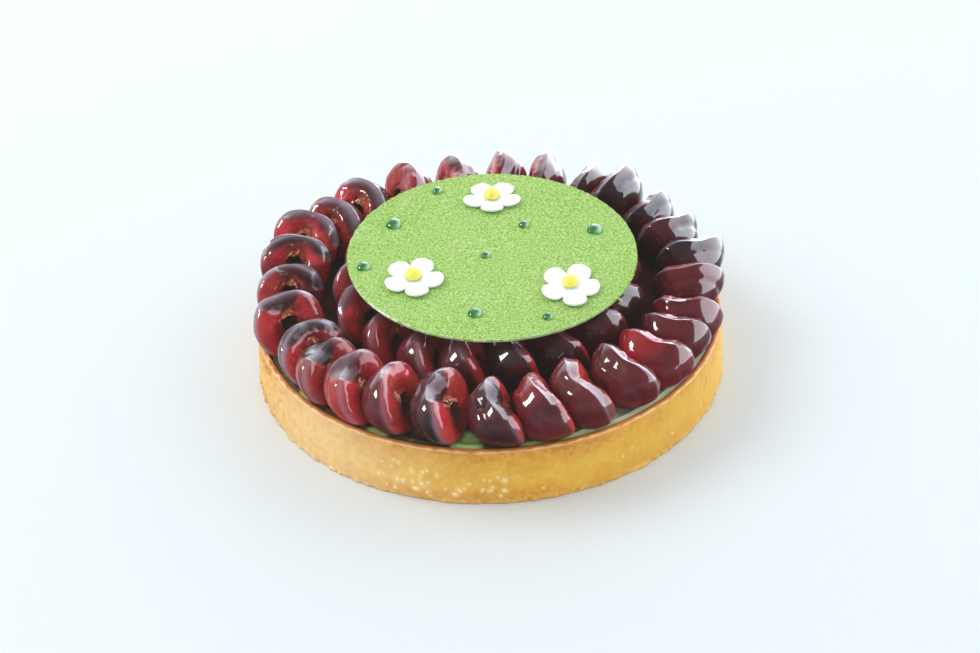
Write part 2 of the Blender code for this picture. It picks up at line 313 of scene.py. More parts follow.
def carried(places, matrix):
    """Points carried over by a matrix."""
    matrix = np.array(matrix)
    return places @ matrix[:3, :3].T + matrix[:3, 3]


# ---------------------------------------------------------------- node building


class Nodes:
    """A short way to write a node tree."""

    def __init__(self, tree):
        self.tree = tree

    def add(self, kind, values=None, **options):
        node = self.tree.nodes.new(kind)
        for key, value in options.items():
            setattr(node, key, value)
        for key, value in (values or {}).items():
            self.feed(value, node.inputs[key])
        return node

    def feed(self, value, socket):
        if isinstance(value, bpy.types.NodeSocket):
            self.tree.links.new(value, socket)
        elif socket.type == "RGBA":
            socket.default_value = (*value, 1.0)
        else:
            socket.default_value = value

    def mask(self, name):
        return self.add("ShaderNodeAttribute", attribute_name=name).outputs["Fac"]

    def place(self):
        return self.add("ShaderNodeTexCoord").outputs["Object"]

    def mix(self, share, first, second):
        node = self.add("ShaderNodeMix", data_type="RGBA")
        self.feed(share, node.inputs[0])
        self.feed(first, node.inputs[6])
        self.feed(second, node.inputs[7])
        return node.outputs[2]

    def math(self, operation, first, second=0.0, clamp=False):
        node = self.add("ShaderNodeMath", operation=operation, use_clamp=clamp)
        self.feed(first, node.inputs[0])
        self.feed(second, node.inputs[1])
        return node.outputs[0]

    def times(self, first, second, clamp=False):
        return self.math("MULTIPLY", first, second, clamp)

    def tint(self, colour, share, other):
        """A colour with this share of another laid over it."""
        return self.mix(share, colour, other)

    def between(self, value, low, high):
        """0 at low and 1 at high."""
        node = self.add("ShaderNodeMapRange", {"From Min": low, "From Max": high})
        self.feed(value, node.inputs["Value"])
        return node.outputs["Result"]

    def group(self, shared, **values):
        node = self.add("ShaderNodeGroup", node_tree=shared)
        for key, value in values.items():
            self.feed(value, node.inputs[key])
        return node


def new_group(name, inputs, outputs):
    tree = bpy.data.node_groups.new(name, "ShaderNodeTree")
    for socket, default in inputs:
        made = tree.interface.new_socket(socket, in_out="INPUT", socket_type="NodeSocketFloat")
        made.default_value = default
    for socket, kind in outputs:
        tree.interface.new_socket(socket, in_out="OUTPUT", socket_type=kind)
    build = Nodes(tree)
    return build, build.add("NodeGroupInput").outputs, build.add("NodeGroupOutput")


def mottle_group():
    """Cloudy variation: a mask of 0 to 1 with patches of Size metres."""
    build, given, result = new_group("mottle", [("Size", 0.01), ("Contrast", 2.0)],
                                     [("Mask", "NodeSocketFloat")])
    scale = build.math("DIVIDE", 1.0, given["Size"])
    cloud = build.add("ShaderNodeTexNoise", {"Vector": build.place(), "Scale": scale,
                                             "Detail": 4.0, "Roughness": 0.5})
    spread = build.times(build.math("SUBTRACT", cloud.outputs["Fac"], 0.5), given["Contrast"])
    build.feed(build.math("ADD", spread, 0.5, clamp=True), result.inputs["Mask"])
    return build.tree


def grain_group():
    """Fine relief: a normal from grains of Size metres that stand Height metres high."""
    build, given, result = new_group(
        "grain", [("Size", 0.001), ("Height", 0.0001), ("Detail", 3.0)],
        [("Normal", "NodeSocketVector"), ("Grain", "NodeSocketFloat")])
    scale = build.math("DIVIDE", 1.0, given["Size"])
    grains = build.add("ShaderNodeTexNoise", {"Vector": build.place(), "Scale": scale,
                                              "Detail": given["Detail"], "Roughness": 0.6})
    bump = build.add("ShaderNodeBump", {"Height": grains.outputs["Fac"],
                                        "Distance": given["Height"], "Strength": 1.0})
    build.feed(bump.outputs["Normal"], result.inputs["Normal"])
    build.feed(grains.outputs["Fac"], result.inputs["Grain"])
    return build.tree


def shared(name, maker):
    """A node group that is built once."""
    return bpy.data.node_groups.get(name) or maker()


def mottle(build, size, contrast, share=None):
    """Patches of this size in metres, as a mask of 0 to share."""
    mask = build.group(shared("mottle", mottle_group), Size=size, Contrast=contrast).outputs[0]
    return mask if share is None else build.times(mask, share)


def grain(build, size, height, detail):
    return build.group(shared("grain", grain_group), Size=size, Height=height,
                       Detail=detail).outputs


def new_material(name, **sockets):
    """A Principled material and the Nodes that build its tree; sockets are named by words."""
    material = bpy.data.materials.new(name)
    material.use_nodes = True
    shader = material.node_tree.nodes["Principled BSDF"]
    for key, value in sockets.items():
        shader.inputs[key.replace("_", " ")].default_value = value
    return material, Nodes(material.node_tree), shader.inputs


# ---------------------------------------------------------------- sizes and colours


def size_of(name, text, default):
    return FloatProperty(name=name, description=text, default=default, unit="LENGTH",
                         precision=5)


def share_of(name, text, default):
    return FloatProperty(name=name, description=text, default=default, min=0.0, max=4.0)


def colour_of(name, text, default):
    return FloatVectorProperty(name=name, description=text, default=default, subtype="COLOR",
                               size=3, min=0.0, max=1.0)


class PastrySettings(bpy.types.PropertyGroup):
    """The shell's sizes and colours."""

    wall: size_of("Wall", "Thickness of the wall at the rim", 2.2 * MM)
    draft: size_of("Draft", "How far the wall leans in from base to rim", 0.9 * MM)
    floor: size_of("Floor", "Thickness of the floor", 3.0 * MM)
    mesh_step: size_of("Mesh step", "Length of a face along the wall", 0.43 * MM)
    foot_chips: size_of("Foot chips", "Roughness of the lower edge", 0.75 * MM)
    blister_count: IntProperty(name="Blisters", description="Small pale blisters", default=62,
                               min=0)
    blister_side: FloatProperty(name="Blister side", description="Where most blisters are, in "
                                "degrees round the shell", default=-103.0)
    golden: colour_of("Golden", "Baked pastry", (0.80, 0.37, 0.016))
    pale: colour_of("Pale", "Less baked pastry", (0.88, 0.53, 0.045))
    # blush: a paler, pinker front-left side, partly its own tone and partly painted light where
    # the lamps fall
    blush: colour_of("Blush", "Paler, pinker side of the shell", (0.96, 0.68, 0.36))
    # orange also paints shade on the side turned away from the window, through the baked mask
    orange: colour_of("Orange", "More baked upper part of the wall", (0.58, 0.175, 0.013))
    fine: colour_of("Fine", "Fine yellow speckles", (0.94, 0.60, 0.10))
    # away: painted shade, a duller gold on the side turned away from the window
    away: colour_of("Away", "Side that is turned away from the window", (0.68, 0.39, 0.040))
    # crest: a pale colour; along the rim's outer edge it is a painted highlight, on the foot and
    # the blisters it gives pale crumbs and patches
    crest: colour_of("Crest", "Pale outer edge of the rim", (0.95, 0.70, 0.34))
    blister: colour_of("Blister", "Pale blisters", (0.98, 0.74, 0.36))
    rust: colour_of("Rust", "Browned top of the rim", (0.58, 0.19, 0.020))
    brown: colour_of("Brown", "Browned inner edge", (0.20, 0.055, 0.010))


class CreamSettings(bpy.types.PropertyGroup):
    """The filling's sizes and colours."""

    swell: size_of("Swell", "How far the cream rises against the cherries", 0.9 * MM)
    reach: size_of("Reach", "How far from a cherry the cream rises", 1.3 * MM)
    light: colour_of("Light", "Pale cream", (0.86, 0.97, 0.68))
    deep: colour_of("Deep", "Greener cream", (0.46, 0.80, 0.17))
    # juice: painted shade on the cream between and under the cherries and under the disc
    juice: colour_of("Juice", "Cherry juice on the cream between the rings", (0.075, 0.022, 0.013))


class CherrySettings(bpy.types.PropertyGroup):
    """The cherries' relief and colours."""

    levels: IntProperty(name="Levels", description="Subdivision of each half", default=3, min=1,
                        max=4)
    bulge: size_of("Bulge", "How far the cut flesh swells", 0.8 * MM)
    dents: size_of("Dents", "Depth of the dents in the skin", 0.35 * MM)
    hollow: share_of("Hollow depth", "Depth of the hollow against the packed half's", 0.62)
    hollow_share: share_of("Hollow width", "Width of the hollow in the cut", 0.50)
    wine: colour_of("Wine", "Dark skin", (0.020, 0.004, 0.006))
    crimson: colour_of("Crimson", "Lighter skin", (0.20, 0.008, 0.014))
    scarlet: colour_of("Scarlet", "Red ends of two halves", (0.33, 0.008, 0.012))
    # bloom: a pale painted reflection on the folded skin and along the cut's rim, partly milky
    # glaze
    bloom: colour_of("Bloom", "Milky glaze on the skin that folds over a cut", (0.32, 0.26, 0.31))
    flesh: colour_of("Flesh", "Rosy cut flesh", (0.80, 0.020, 0.052))
    flesh_dark: colour_of("Dark flesh", "Riper cut flesh", (0.26, 0.013, 0.014))
    flesh_light: colour_of("Light flesh", "Paler streaks of the flesh", (0.80, 0.13, 0.10))
    flesh_brown: colour_of("Brown flesh", "Amber patches of the flesh", (0.50, 0.10, 0.03))
    # hollow_red and stone_dark: painted shade that deepens into the hollow
    hollow_red: colour_of("Hollow's edge", "Just inside the hollow", (0.15, 0.018, 0.017))
    # valley: painted shade on the flesh beside and above the hollow, and the disc's painted shadow
    # on the inner halves
    valley: colour_of("Valley", "Dark flesh beside the hollow", (0.070, 0.012, 0.011))
    stone_dark: colour_of("Stone's hollow", "Deep in the hollow", (0.085, 0.028, 0.022))
    strand_count: IntProperty(name="Strands", description="Loose fibres of a half", default=8,
                              min=0)
    strand: size_of("Strand", "Thickness of a loose fibre", 0.62 * MM)
    fibre: colour_of("Fibre", "Frayed flesh round the hollow", (0.54, 0.135, 0.050))


class DiscSettings(bpy.types.PropertyGroup):
    """The velvet disc, its drops and its flowers."""

    thickness: size_of("Thickness", "Thickness of the disc", 1.0 * MM)
    cells: IntProperty(name="Cells", description="Faces across the disc", default=280, min=8)
    nap: size_of("Nap", "Height of the velvet's grains", 0.26 * MM)
    green: colour_of("Green", "Velvet", (0.305, 0.535, 0.10))
    # shade and tip follow the grain's height: painted shade between the grains and painted light
    # on their tips, over the velvet's own yellower and greener tones
    shade: colour_of("Shade", "Between the grains", (0.16, 0.37, 0.008))
    tip: colour_of("Tip", "Tips of the grains", (0.54, 0.70, 0.31))
    under: colour_of("Under", "Bare underside of the disc", (0.66, 0.72, 0.50))
    worn: colour_of("Worn", "Edge where the velvet has come off", (0.86, 0.90, 0.74))
    crumb_green: colour_of("Crumb", "Crumbs of velvet", (0.30, 0.46, 0.10))
    crumb_pale: colour_of("Pale crumb", "Pale patches of the crumbs", (0.72, 0.74, 0.34))
    gel: colour_of("Gel", "Drops of gel", (0.065, 0.25, 0.075))
    gel_light: colour_of("Lit gel", "Side of a drop that glows", (0.36, 0.66, 0.30))
    petal_start: size_of("Petal start", "From a flower's middle to a petal", 1.4 * MM)
    petal_length: size_of("Petal length", "Length of a petal", 8.7 * MM)
    petal_width: size_of("Petal width", "Width of a petal", 8.0 * MM)
    petal_height: size_of("Petal height", "Thickness of a petal", 2.0 * MM)
    petal: colour_of("Petal", "Sugar petals", (0.90, 0.92, 0.92))
    middle: colour_of("Middle", "Middle of a flower", (0.95, 0.86, 0.13))


class StageSettings(bpy.types.PropertyGroup):
    """Floor, light and camera."""

    distance: size_of("Distance", "From the camera to what it looks at", 0.7926)
    target_height: size_of("Target height", "Height of what the camera looks at", 12.57 * MM)
    elevation: FloatProperty(name="Elevation", description="How far the camera looks down",
                             default=math.radians(35.55), subtype="ANGLE")
    roll: FloatProperty(name="Roll", description="How far the camera is rolled",
                        default=math.radians(2.13), subtype="ANGLE")
    lens: FloatProperty(name="Lens", description="Focal length on a 36 mm sensor",
                        default=84.78, unit="CAMERA")
    floor: colour_of("Floor", "Pale floor", (0.70, 0.755, 0.765))


GROUPS = {"pastry": PastrySettings, "cream": CreamSettings, "cherry": CherrySettings,
          "disc": DiscSettings, "stage": StageSettings}


def settings(name):
    return getattr(bpy.context.scene, "tart_" + name)


# ---------------------------------------------------------------- pastry

# (middle, spread) in degrees round the shell of its paler side, which is partly painted light, and
# of the side turned away, which carries painted shade
BLUSH_AND_LIGHT = (-136, 27)
PAINTED_SHADE_SIDE = (-30, 42)
SEAMS = (-87, -58)          # faint upright marks of the ring it was baked in
FOOT_INSET = 1.3 * MM       # from the wall's foot to the edge of the flat underside
RELIEF_ROOM = 0.4 * MM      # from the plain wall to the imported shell's, for the relief


def spaced(low, high, step):
    """Values from low to high, about one step apart, without low itself."""
    count = max(1, round(abs(high - low) / step))
    return [low + (high - low) * (i + 1) / count for i in range(count)]


def pastry_profile(sizes, radius, height):
    """(radius, height) points from the foot up the wall, over the rim and down inside."""
    rounding = 0.45 * sizes.wall
    rim = radius - sizes.draft
    inner = rim - sizes.wall
    step = sizes.mesh_step
    profile = [(radius - FOOT_INSET, 0.0), (radius - 0.5 * MM, 0.0), (radius, 0.35 * MM)]
    for level in spaced(0.35 * MM, height - rounding, step):
        profile.append((radius - sizes.draft * level / height, level))
    for turn in spaced(0.0, 0.5 * math.pi, 0.4):
        profile.append((rim - rounding * (1 - math.cos(turn)),
                        height - rounding * (1 - math.sin(turn))))
    profile.append((0.5 * (rim + inner), height))
    for turn in spaced(0.0, 0.5 * math.pi, 0.4):
        profile.append((inner + rounding * (1 - math.sin(turn)),
                        height - rounding * (1 - math.cos(turn))))
    for level in spaced(height - rounding, height - 4.0 * MM, step):
        profile.append((inner, level))
    profile.append((inner, sizes.floor))
    profile.append((0.0, sizes.floor))
    return profile


def blister_places(sizes):
    """(side in degrees, level, radius) of each blister; most of them are in front."""
    draw = random.Random(3)
    places = []
    for index in range(sizes.blister_count):
        side = draw.uniform(0, 360)
        radius = draw.uniform(0.25, 0.42) * MM
        if index % 3:
            side = sizes.blister_side + draw.uniform(-16, 16)
            radius = draw.choice((0.36, 0.42, 0.48, 0.55, 0.65, 0.90)) * MM
        places.append((side, draw.triangular(1.6 * MM, 16 * MM, 4 * MM), radius))
    return places


class TART_OT_pastry(bpy.types.Operator):
    """Turn the pastry shell, with its rough foot and browned rim"""

    bl_idname = "tart.pastry"
    bl_label = "Pastry shell"
    bl_options = {"REGISTER", "UNDO"}

    def execute(self, context):
        sizes = settings("pastry")
        low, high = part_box("crust")
        height = high.z
        radius = 0.5 * (high.x - low.x) - RELIEF_ROOM
        segments = round(math.tau * radius / sizes.mesh_step)
        piece = turned("pastry_shell", pastry_profile(sizes, radius, height), segments)
        select_rim(piece)
        close_rim(piece, 1)
        self.add_relief(piece, sizes, radius, height)
        smooth(piece)
        dress(piece, pastry_material(sizes), ["crust"])
        return {"FINISHED"}

    def add_relief(self, piece, sizes, radius, height):
        """Roughen the wall, foot and rim, and store where it is baked more or less and where light
        and shade are painted.
        """
        low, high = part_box("crust")
        places = points_of(piece)
        side, reach = polar(places)
        levels = places[:, 2].copy()
        wall = ramp(reach, radius - 3.2 * MM, radius - 2.0 * MM) * ramp(levels, 0.0, 0.3 * MM)
        outside = wall * ramp(reach, radius - 2.2 * MM, radius - 1.6 * MM)
        foot = outside * (1.0 - ramp(levels, 0.4 * MM, 2.6 * MM))
        lumps = 0.16 * MM * waves(places, 7 * MM, 1) + 0.09 * MM * waves(places, 2.2 * MM, 2)
        crumb = 0.05 * MM * waves(places, 0.9 * MM, 3)
        chips = sizes.foot_chips * waves(places * (1, 1, 0.4), 2.0 * MM, 4, 3)
        left = outside * ramp(-places[:, 0], 0.80 * radius, 0.97 * radius)
        torn = 0.9 * MM * ramp(-waves(places, 3.4 * MM, 9, 2), 0.15, 0.45) * left
        push = (lumps + crumb) * wall + np.clip(chips, -0.8 * MM, 0.5 * MM) * foot - torn
        most = min(-low.x, high.x, -low.y, high.y) - 0.03 * MM
        top = ramp(levels, height - 1.2 * MM, height)
        rise = top * (0.22 * MM * waves(places, 9 * MM, 5) + 0.10 * MM * waves(places, 2 * MM, 6))
        lift = foot * ramp(waves(places, 1.6 * MM, 7), 0.1, 0.5) * 0.35 * MM
        push_out(places, reach, np.minimum(push, most - reach))
        places[:, 2] += rise * wall + lift
        put_points(piece, places)
        self.mask_rim(piece, sizes, radius, height, reach, levels)
        self.mask_wall(piece, sizes, radius, height, side, levels, outside)
        put_masks(piece, foot=foot)

    def mask_rim(self, piece, sizes, radius, height, reach, levels):
        inner = radius - sizes.draft - sizes.wall
        ragged = reach + 0.25 * MM * waves(points_of(piece), 3 * MM, 10, 2)
        toast = ramp(levels, height - 2.4 * MM, height - 0.3 * MM)
        toast *= 1.0 - ramp(ragged, inner + 1.75 * MM, inner + 2.15 * MM)
        toast = np.maximum(toast, 1 - ramp(reach, inner + 0.2 * MM, inner + 0.5 * MM))
        # crest: a painted highlight along the rim's outer edge
        crest = hump(reach - inner - sizes.wall + 0.25 * MM, 0.28 * MM)
        put_masks(piece, toast=toast,
                  char=1.0 - ramp(ragged, inner + 0.25 * MM, inner + 0.75 * MM),
                  crest=crest * ramp(levels, height - 1.0 * MM, height - 0.4 * MM))

    def mask_wall(self, piece, sizes, radius, height, side, levels, outside):
        halo = np.zeros(len(side))
        for blister_side, level, size in blister_places(sizes):
            along = np.radians(apart(side, blister_side)) * radius
            halo = np.maximum(halo, hump(np.hypot(along, levels - level), 1.5 * size, 3))
        patches = waves(points_of(piece) * (1, 1, 1.6), 13 * MM, 12, 2)
        # partly painted light: the lit front-left side is paler and pinker and browned less
        blush = hump(apart(side, BLUSH_AND_LIGHT[0]), BLUSH_AND_LIGHT[1]) * outside
        # painted shade: the side turned away from the window is duller and, through baked, more
        # orange
        away = hump(side - PAINTED_SHADE_SIDE[0], PAINTED_SHADE_SIDE[1])
        upper = ramp(levels + 3.5 * MM * patches, 0.68 * height, 1.00 * height)
        upper = np.maximum(upper, hump(height - levels, 2.0 * MM))
        lower = 0.45 * (1 - ramp(levels + 3.0 * MM * patches, 1.0 * MM, 7.0 * MM))
        baked = np.maximum(np.maximum(upper, lower), away * (0.20 + 0.3 * patches))
        baked *= 1 - 0.8 * blush
        for seam in SEAMS:
            mark = 0.6 * hump(np.radians(apart(side, seam)) * radius, 0.5 * MM)
            baked = np.maximum(baked, mark * ramp(levels, 5 * MM, 12 * MM))
        band = hump(levels / height - 0.45 + 0.25 * patches, 0.22)
        put_masks(piece, speck=0.75 * halo * outside, baked=outside * baked,
                  band=outside * band, blush=blush, away=outside * away)


class TART_OT_blisters(bpy.types.Operator):
    """Raise the small round blisters on the wall of the shell"""

    bl_idname = "tart.blisters"
    bl_label = "Blisters"
    bl_options = {"REGISTER", "UNDO"}

    def execute(self, context):
        sizes = settings("pastry")
        shell = bpy.data.objects["pastry_shell"]
        places, normals = points_of(shell), normals_of(shell)
        sides, reach = polar(places)
        inside = np.where(reach > 0.965 * reach.max(), 0.0, FAR)
        made = []
        for index, (side, level, radius) in enumerate(blister_places(sizes)):
            away = np.radians(np.abs(apart(sides, side))) * reach.max()
            spot = int((away + np.abs(places[:, 2] - level) + inside).argmin())
            blister = pebble(f"blister_{index}", subdivisions=3, radius=radius)
            shape = points_of(blister)
            shape *= 1.0 + 0.16 * waves(shape + places[spot], 0.9 * MM, 310 + index, 1)[:, None]
            shape += places[spot] - 0.35 * radius * normals[spot]
            above = (shape - places[spot]) @ normals[spot]
            put_masks(blister, peak=ramp(above, 0.0, 0.5 * radius))
            put_points(blister, shape)
            made.append(blister)
        piece = joined(made, "pastry_blisters")
        smooth(piece)
        dress(piece, blister_material(sizes))
        return {"FINISHED"}


def blister_material(sizes):
    material, build, out = new_material("pale_blister", Roughness=0.5)
    colour = build.mix(build.mask("peak"), sizes.pale, sizes.blister)
    colour = build.tint(colour, mottle(build, 0.0012, 3.0, 0.3), sizes.crest)
    build.feed(colour, out["Base Color"])
    return material


def pastry_material(sizes):
    material, build, out = new_material("baked_pastry", Roughness=0.62, Subsurface_Weight=0.12,
                                        Subsurface_Scale=0.002)
    amber = (sizes.golden[0] * 0.86, sizes.golden[1] * 0.70, sizes.golden[2] * 0.60)
    colour = build.mix(mottle(build, 0.010, 4.0, 0.50), sizes.golden, amber)
    clouds = build.math("ADD", mottle(build, 0.013, 3.5), 0.25)
    colour = build.tint(colour, build.times(build.mask("band"), clouds, clamp=True), sizes.pale)
    # paler, pinker front-left side: partly its own tone, partly painted light
    colour = build.tint(colour, build.times(build.mask("blush"), 0.80), sizes.blush)
    clouds = build.math("ADD", mottle(build, 0.008, 4.0), 0.35)
    # baked: real browning, and painted shade on the side turned away from the window
    baked = build.times(build.times(build.mask("baked"), clouds), 0.85, clamp=True)
    colour = build.tint(colour, baked, sizes.orange)
    colour = build.tint(colour, mottle(build, 0.0018, 6.0, 0.34), sizes.fine)
    colour = build.tint(colour, mottle(build, 0.0026, 6.0, 0.18), amber)
    # painted shade: a duller gold on the side turned away from the window
    colour = build.tint(colour, build.times(build.mask("away"), 0.60), sizes.away)
    # painted highlight along the rim's outer edge
    colour = build.tint(colour, build.mask("crest"), sizes.crest)
    clouds = build.math("ADD", mottle(build, 0.004, 2.0), 0.65)
    colour = build.tint(colour, build.times(build.mask("toast"), clouds, clamp=True), sizes.rust)
    colour = build.tint(colour, build.mask("char"), sizes.brown)
    crumb = build.times(build.mask("foot"), mottle(build, 0.0016, 5.0, 0.45))
    colour = build.tint(colour, crumb, sizes.crest)
    colour = build.tint(colour, build.mask("speck"), sizes.blister)
    build.feed(colour, out["Base Color"])
    build.feed(grain(build, 0.0010, 0.00012, 4.0)["Normal"], out["Normal"])
    return material


# ---------------------------------------------------------------- cream


# (side in degrees, spread in degrees) of the gaps where clean cream shows at the rim
CREAM_GAPS = ((-144, 2.2), (-119.5, 2.6), (-97, 4.0), (-80, 4.0), (-69, 5.0), (-56, 8.0),
              (-40, 12.0), (-22, 9.0), (40, 14.0), (88, 16.0), (130, 8.0))
CREAM_SEGMENTS = 320
CREAM_STEP = 1.1 * MM       # between two rings of the surface


class TART_OT_cream(bpy.types.Operator):
    """Fill the shell with cream that swells against the cherries"""

    bl_idname = "tart.cream"
    bl_label = "Cream"
    bl_options = {"REGISTER", "UNDO"}

    def execute(self, context):
        sizes = settings("cream")
        low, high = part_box("cream")
        edge = high.x
        profile = [(edge, low.z), (edge, high.z - 0.7 * MM)]
        profile += [(reach, high.z) for reach in spaced(edge - 0.6 * MM, 3 * MM, CREAM_STEP)]
        profile.append((0.0, high.z))
        piece = turned("cream_filling", profile, CREAM_SEGMENTS)
        select_rim(piece)
        close_rim(piece)
        self.add_relief(piece, sizes, edge, high.z)
        smooth(piece, 40)
        dress(piece, cream_material(sizes), ["cream"])
        return {"FINISHED"}

    def add_relief(self, piece, sizes, edge, top):
        places = points_of(piece)
        near = np.zeros(len(places))
        surface = places[:, 2] > top - 0.75 * MM
        feet = foot_points()
        for index in np.flatnonzero(surface):
            away = np.hypot(*(feet - places[index])[:, :2].T).min()
            near[index] = hump(away, sizes.reach)
        side, reach = polar(places)
        at_wall = ramp(reach, edge - 5.5 * MM, edge - 1.0 * MM)
        lumps = 0.12 * MM * waves(places, 5 * MM, 8) * surface
        places[:, 2] += sizes.swell * near + lumps + 1.7 * MM * at_wall * surface
        put_points(piece, places)
        # painted shade: the middle under the inner ring and the disc, and the rim outside the
        # clean gaps, get the dark colour
        middle = 1.0 - ramp(reach, edge - 12 * MM, edge - 8 * MM)
        clean = np.zeros(len(places))
        for gap, spread in CREAM_GAPS:
            clean = np.maximum(clean, hump(apart(side, gap), spread, 4))
        clean = ramp(clean + 0.5 * waves(places, 3.5 * MM, 13, 2), 0.25, 0.60)
        green = ramp(-places[:, 0], -45 * MM, -12 * MM) + 0.4 * waves(places, 6 * MM, 11, 2)
        put_masks(piece, green=green, middle=middle,
                  juice=np.maximum(middle, 0.94 * (1 - clean)))


def foot_points():
    """Points of the cherries' undersides, close above the cream."""
    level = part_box("cream")[1].z + 0.9 * MM
    halves = np.concatenate([points_of(body) for name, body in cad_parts.items()
                             if name.startswith("cherry")])
    return halves[halves[:, 2] < level]


def cream_material(sizes):
    material, build, out = new_material("pistachio_cream", Coat_Roughness=0.06,
                                        Specular_IOR_Level=0.06, Subsurface_Weight=0.15,
                                        Subsurface_Scale=0.003)
    juice, middle = build.mask("juice"), build.mask("middle")
    colour = build.mix(build.mask("green"), sizes.light, sizes.deep)
    colour = build.tint(colour, mottle(build, 0.003, 3.0, 0.35), sizes.light)
    # painted shade between and under the cherries; where it lies the coat is weaker
    colour = build.tint(colour, juice, sizes.juice)
    build.feed(colour, out["Base Color"])
    wet = build.math("SUBTRACT", 1.0, build.times(juice, 0.7))
    outer = build.math("SUBTRACT", 1.0, middle, clamp=True)
    build.feed(build.times(wet, outer), out["Coat Weight"])
    build.feed(build.math("ADD", build.times(middle, 0.5), 0.45), out["Roughness"])
    build.feed(grain(build, 0.0025, 0.0004, 2.0)["Normal"], out["Normal"])
    return material


# ---------------------------------------------------------------- cherries


class Look(NamedTuple):
    """How one half differs from the others.

    Angles turn on the cut face, from 0 at its outer end over 90 at its top.  The skin folds
    over the cut round skin_turn, skin_spread to each side, as far in as skin_reach: 0 is the
    cut's edge and 1 the hollow's.  Notch dips the rim there.  The lobes of flesh pinch the hollow
    from its sides, drop moves it down, rosy brightens the flesh, spill is how far its colour runs
    over the outer end, and fold is a low ridge of glaze across the dome.  Painted shade darkens
    the flesh round dark_turn, round the hollow and above it, by the share dark; rim and bloom are
    how strong a pale painted reflection, partly milky glaze, is on the cut's rim and on the
    folded skin.  Loose fibres lie round fibre_turn, where it isn't the usual one.
    """

    skin_turn: float = 90
    skin_spread: float = 50
    skin_reach: float = 0.30
    fibre: float = 0.8
    ripe: float = 0.25
    red_end: float = 0.0
    fibre_turn: float = 90
    pinch: float = 0.42
    drop: float = 0.18
    fold: float = 0.0
    notch: float = 0.0
    rosy: float = 0.5
    spill: float = 0.0
    dark: float = 0.0
    dark_turn: float = 270
    dark_spread: float = 45
    rim: float = 0.0
    bloom: float = 0.35


LOOKS = {
    "outer_01": Look(100, 15, 0.1, fibre=0.9, ripe=0.6, fibre_turn=60, rim=0.3),
    "outer_02": Look(82, 30, 0.95, fibre=1.0, ripe=0.1, fibre_turn=100, rim=0.5),
    "outer_03": Look(75, 45, 0.95, fibre=0.9, ripe=0.2, rim=0.3),
    "outer_04": Look(ripe=0.50, red_end=0.5, fold=1.2),
    "outer_05": Look(90, 170, 0.2, ripe=0.5, fold=1.4),
    "outer_06": Look(90, 170, 0.3, ripe=0.5, fold=1.6),
    "outer_07": Look(90, 170, 0.3, ripe=0.6, red_end=0.9, fold=1.6),
    "outer_08": Look(90, 170, 0.3, ripe=0.5, fold=0.6),
    "outer_16": Look(90, 120, 0.2, ripe=0.4),
    "outer_17": Look(90, 35, 0.2, ripe=0.6),
    "outer_18": Look(85, 35, 0.4, ripe=0.5, rim=0.3),
    "outer_19": Look(90, 25, 0.15, ripe=0.7, rosy=0.7, dark=0.5),
    "outer_20": Look(118, 78, 0.46, fibre=1.0, ripe=0.25, fibre_turn=95, rosy=1.0, spill=0.2,
                     dark=0.9, dark_turn=190, dark_spread=60, rim=0.9, bloom=1.0, drop=0.10),
    "outer_21": Look(115, 65, 0.44, fibre=0.8, ripe=0.2, fibre_turn=100, rosy=0.55,
                     dark=0.8, dark_turn=350, dark_spread=50, rim=0.9, bloom=1.0, drop=0.05),
    "outer_22": Look(112, 65, 0.34, fibre=1.0, ripe=0.15, fibre_turn=92, rosy=0.9,
                     dark=0.6, dark_turn=270, dark_spread=40, rim=0.9, bloom=0.85, drop=0.02),
    "outer_23": Look(93, 72, 0.44, fibre=0.9, ripe=0.08, fibre_turn=88, rosy=0.7,
                     dark=0.85, dark_turn=350, dark_spread=45, rim=0.9, drop=-0.08),
    "outer_24": Look(118, 50, 0.55, fibre=1.0, ripe=0.08, fibre_turn=100, rosy=0.5,
                     dark=1.0, dark_turn=165, dark_spread=62, rim=1.0, drop=-0.05),
    "outer_25": Look(80, 36, 0.68, fibre=1.0, ripe=0.12, fibre_turn=78, notch=0.6, rosy=0.85,
                     spill=0.2, dark=0.95, dark_turn=232, dark_spread=58, rim=1.0, bloom=0.5,
                     drop=0.06),
    "outer_26": Look(92, 60, 0.42, fibre=0.5, ripe=0.0, fibre_turn=88, rosy=0.9, spill=0.3,
                     dark=1.0, dark_turn=190, dark_spread=70, rim=1.0, drop=0.0),
    "outer_27": Look(84, 30, 0.75, fibre=1.0, ripe=0.05, fibre_turn=86, notch=1.0, rosy=0.65,
                     spill=0.8, dark=0.9, dark_turn=225, dark_spread=52, rim=0.6),
    "outer_28": Look(78, 26, 0.75, fibre=1.0, ripe=0.4, fibre_turn=80, notch=1.1, rosy=0.9,
                     spill=1.0, dark=0.9, dark_turn=235, dark_spread=50, rim=0.5),
    # the dark side of the inner halves is the disc's painted shadow
    "inner_02": Look(80, 30, 0.2, fibre=0.4, rosy=0.35, dark=0.9, dark_turn=215, dark_spread=95,
                     rim=0.5),
    "inner_03": Look(100, 20, 0.2, ripe=0.4, rosy=0.4, dark=1.0, dark_turn=200, dark_spread=110,
                     rim=0.8),
    "inner_04": Look(70, 50, 0.3, ripe=0.5, rosy=0.9, dark=1.0, dark_turn=200, dark_spread=115,
                     rim=0.7),
    "inner_05": Look(80, 20, 0.2, ripe=0.8, rosy=0.8, dark=0.9, dark_turn=210, dark_spread=95,
                     rim=0.4),
    "inner_06": Look(80, 20, 0.2, ripe=0.6, rosy=0.4, dark=0.6, dark_turn=210, dark_spread=90,
                     rim=0.5),
}
# from outer_09 on: how light a red the domes are that hide their cuts
LOOKS |= {f"outer_{number:02}": Look(90, 170, 0.3, ripe=ripe)
          for number, ripe in enumerate((0.55, 0.4, 0.1, 0.15, 0.0, 0.0, 0.05), 9)}


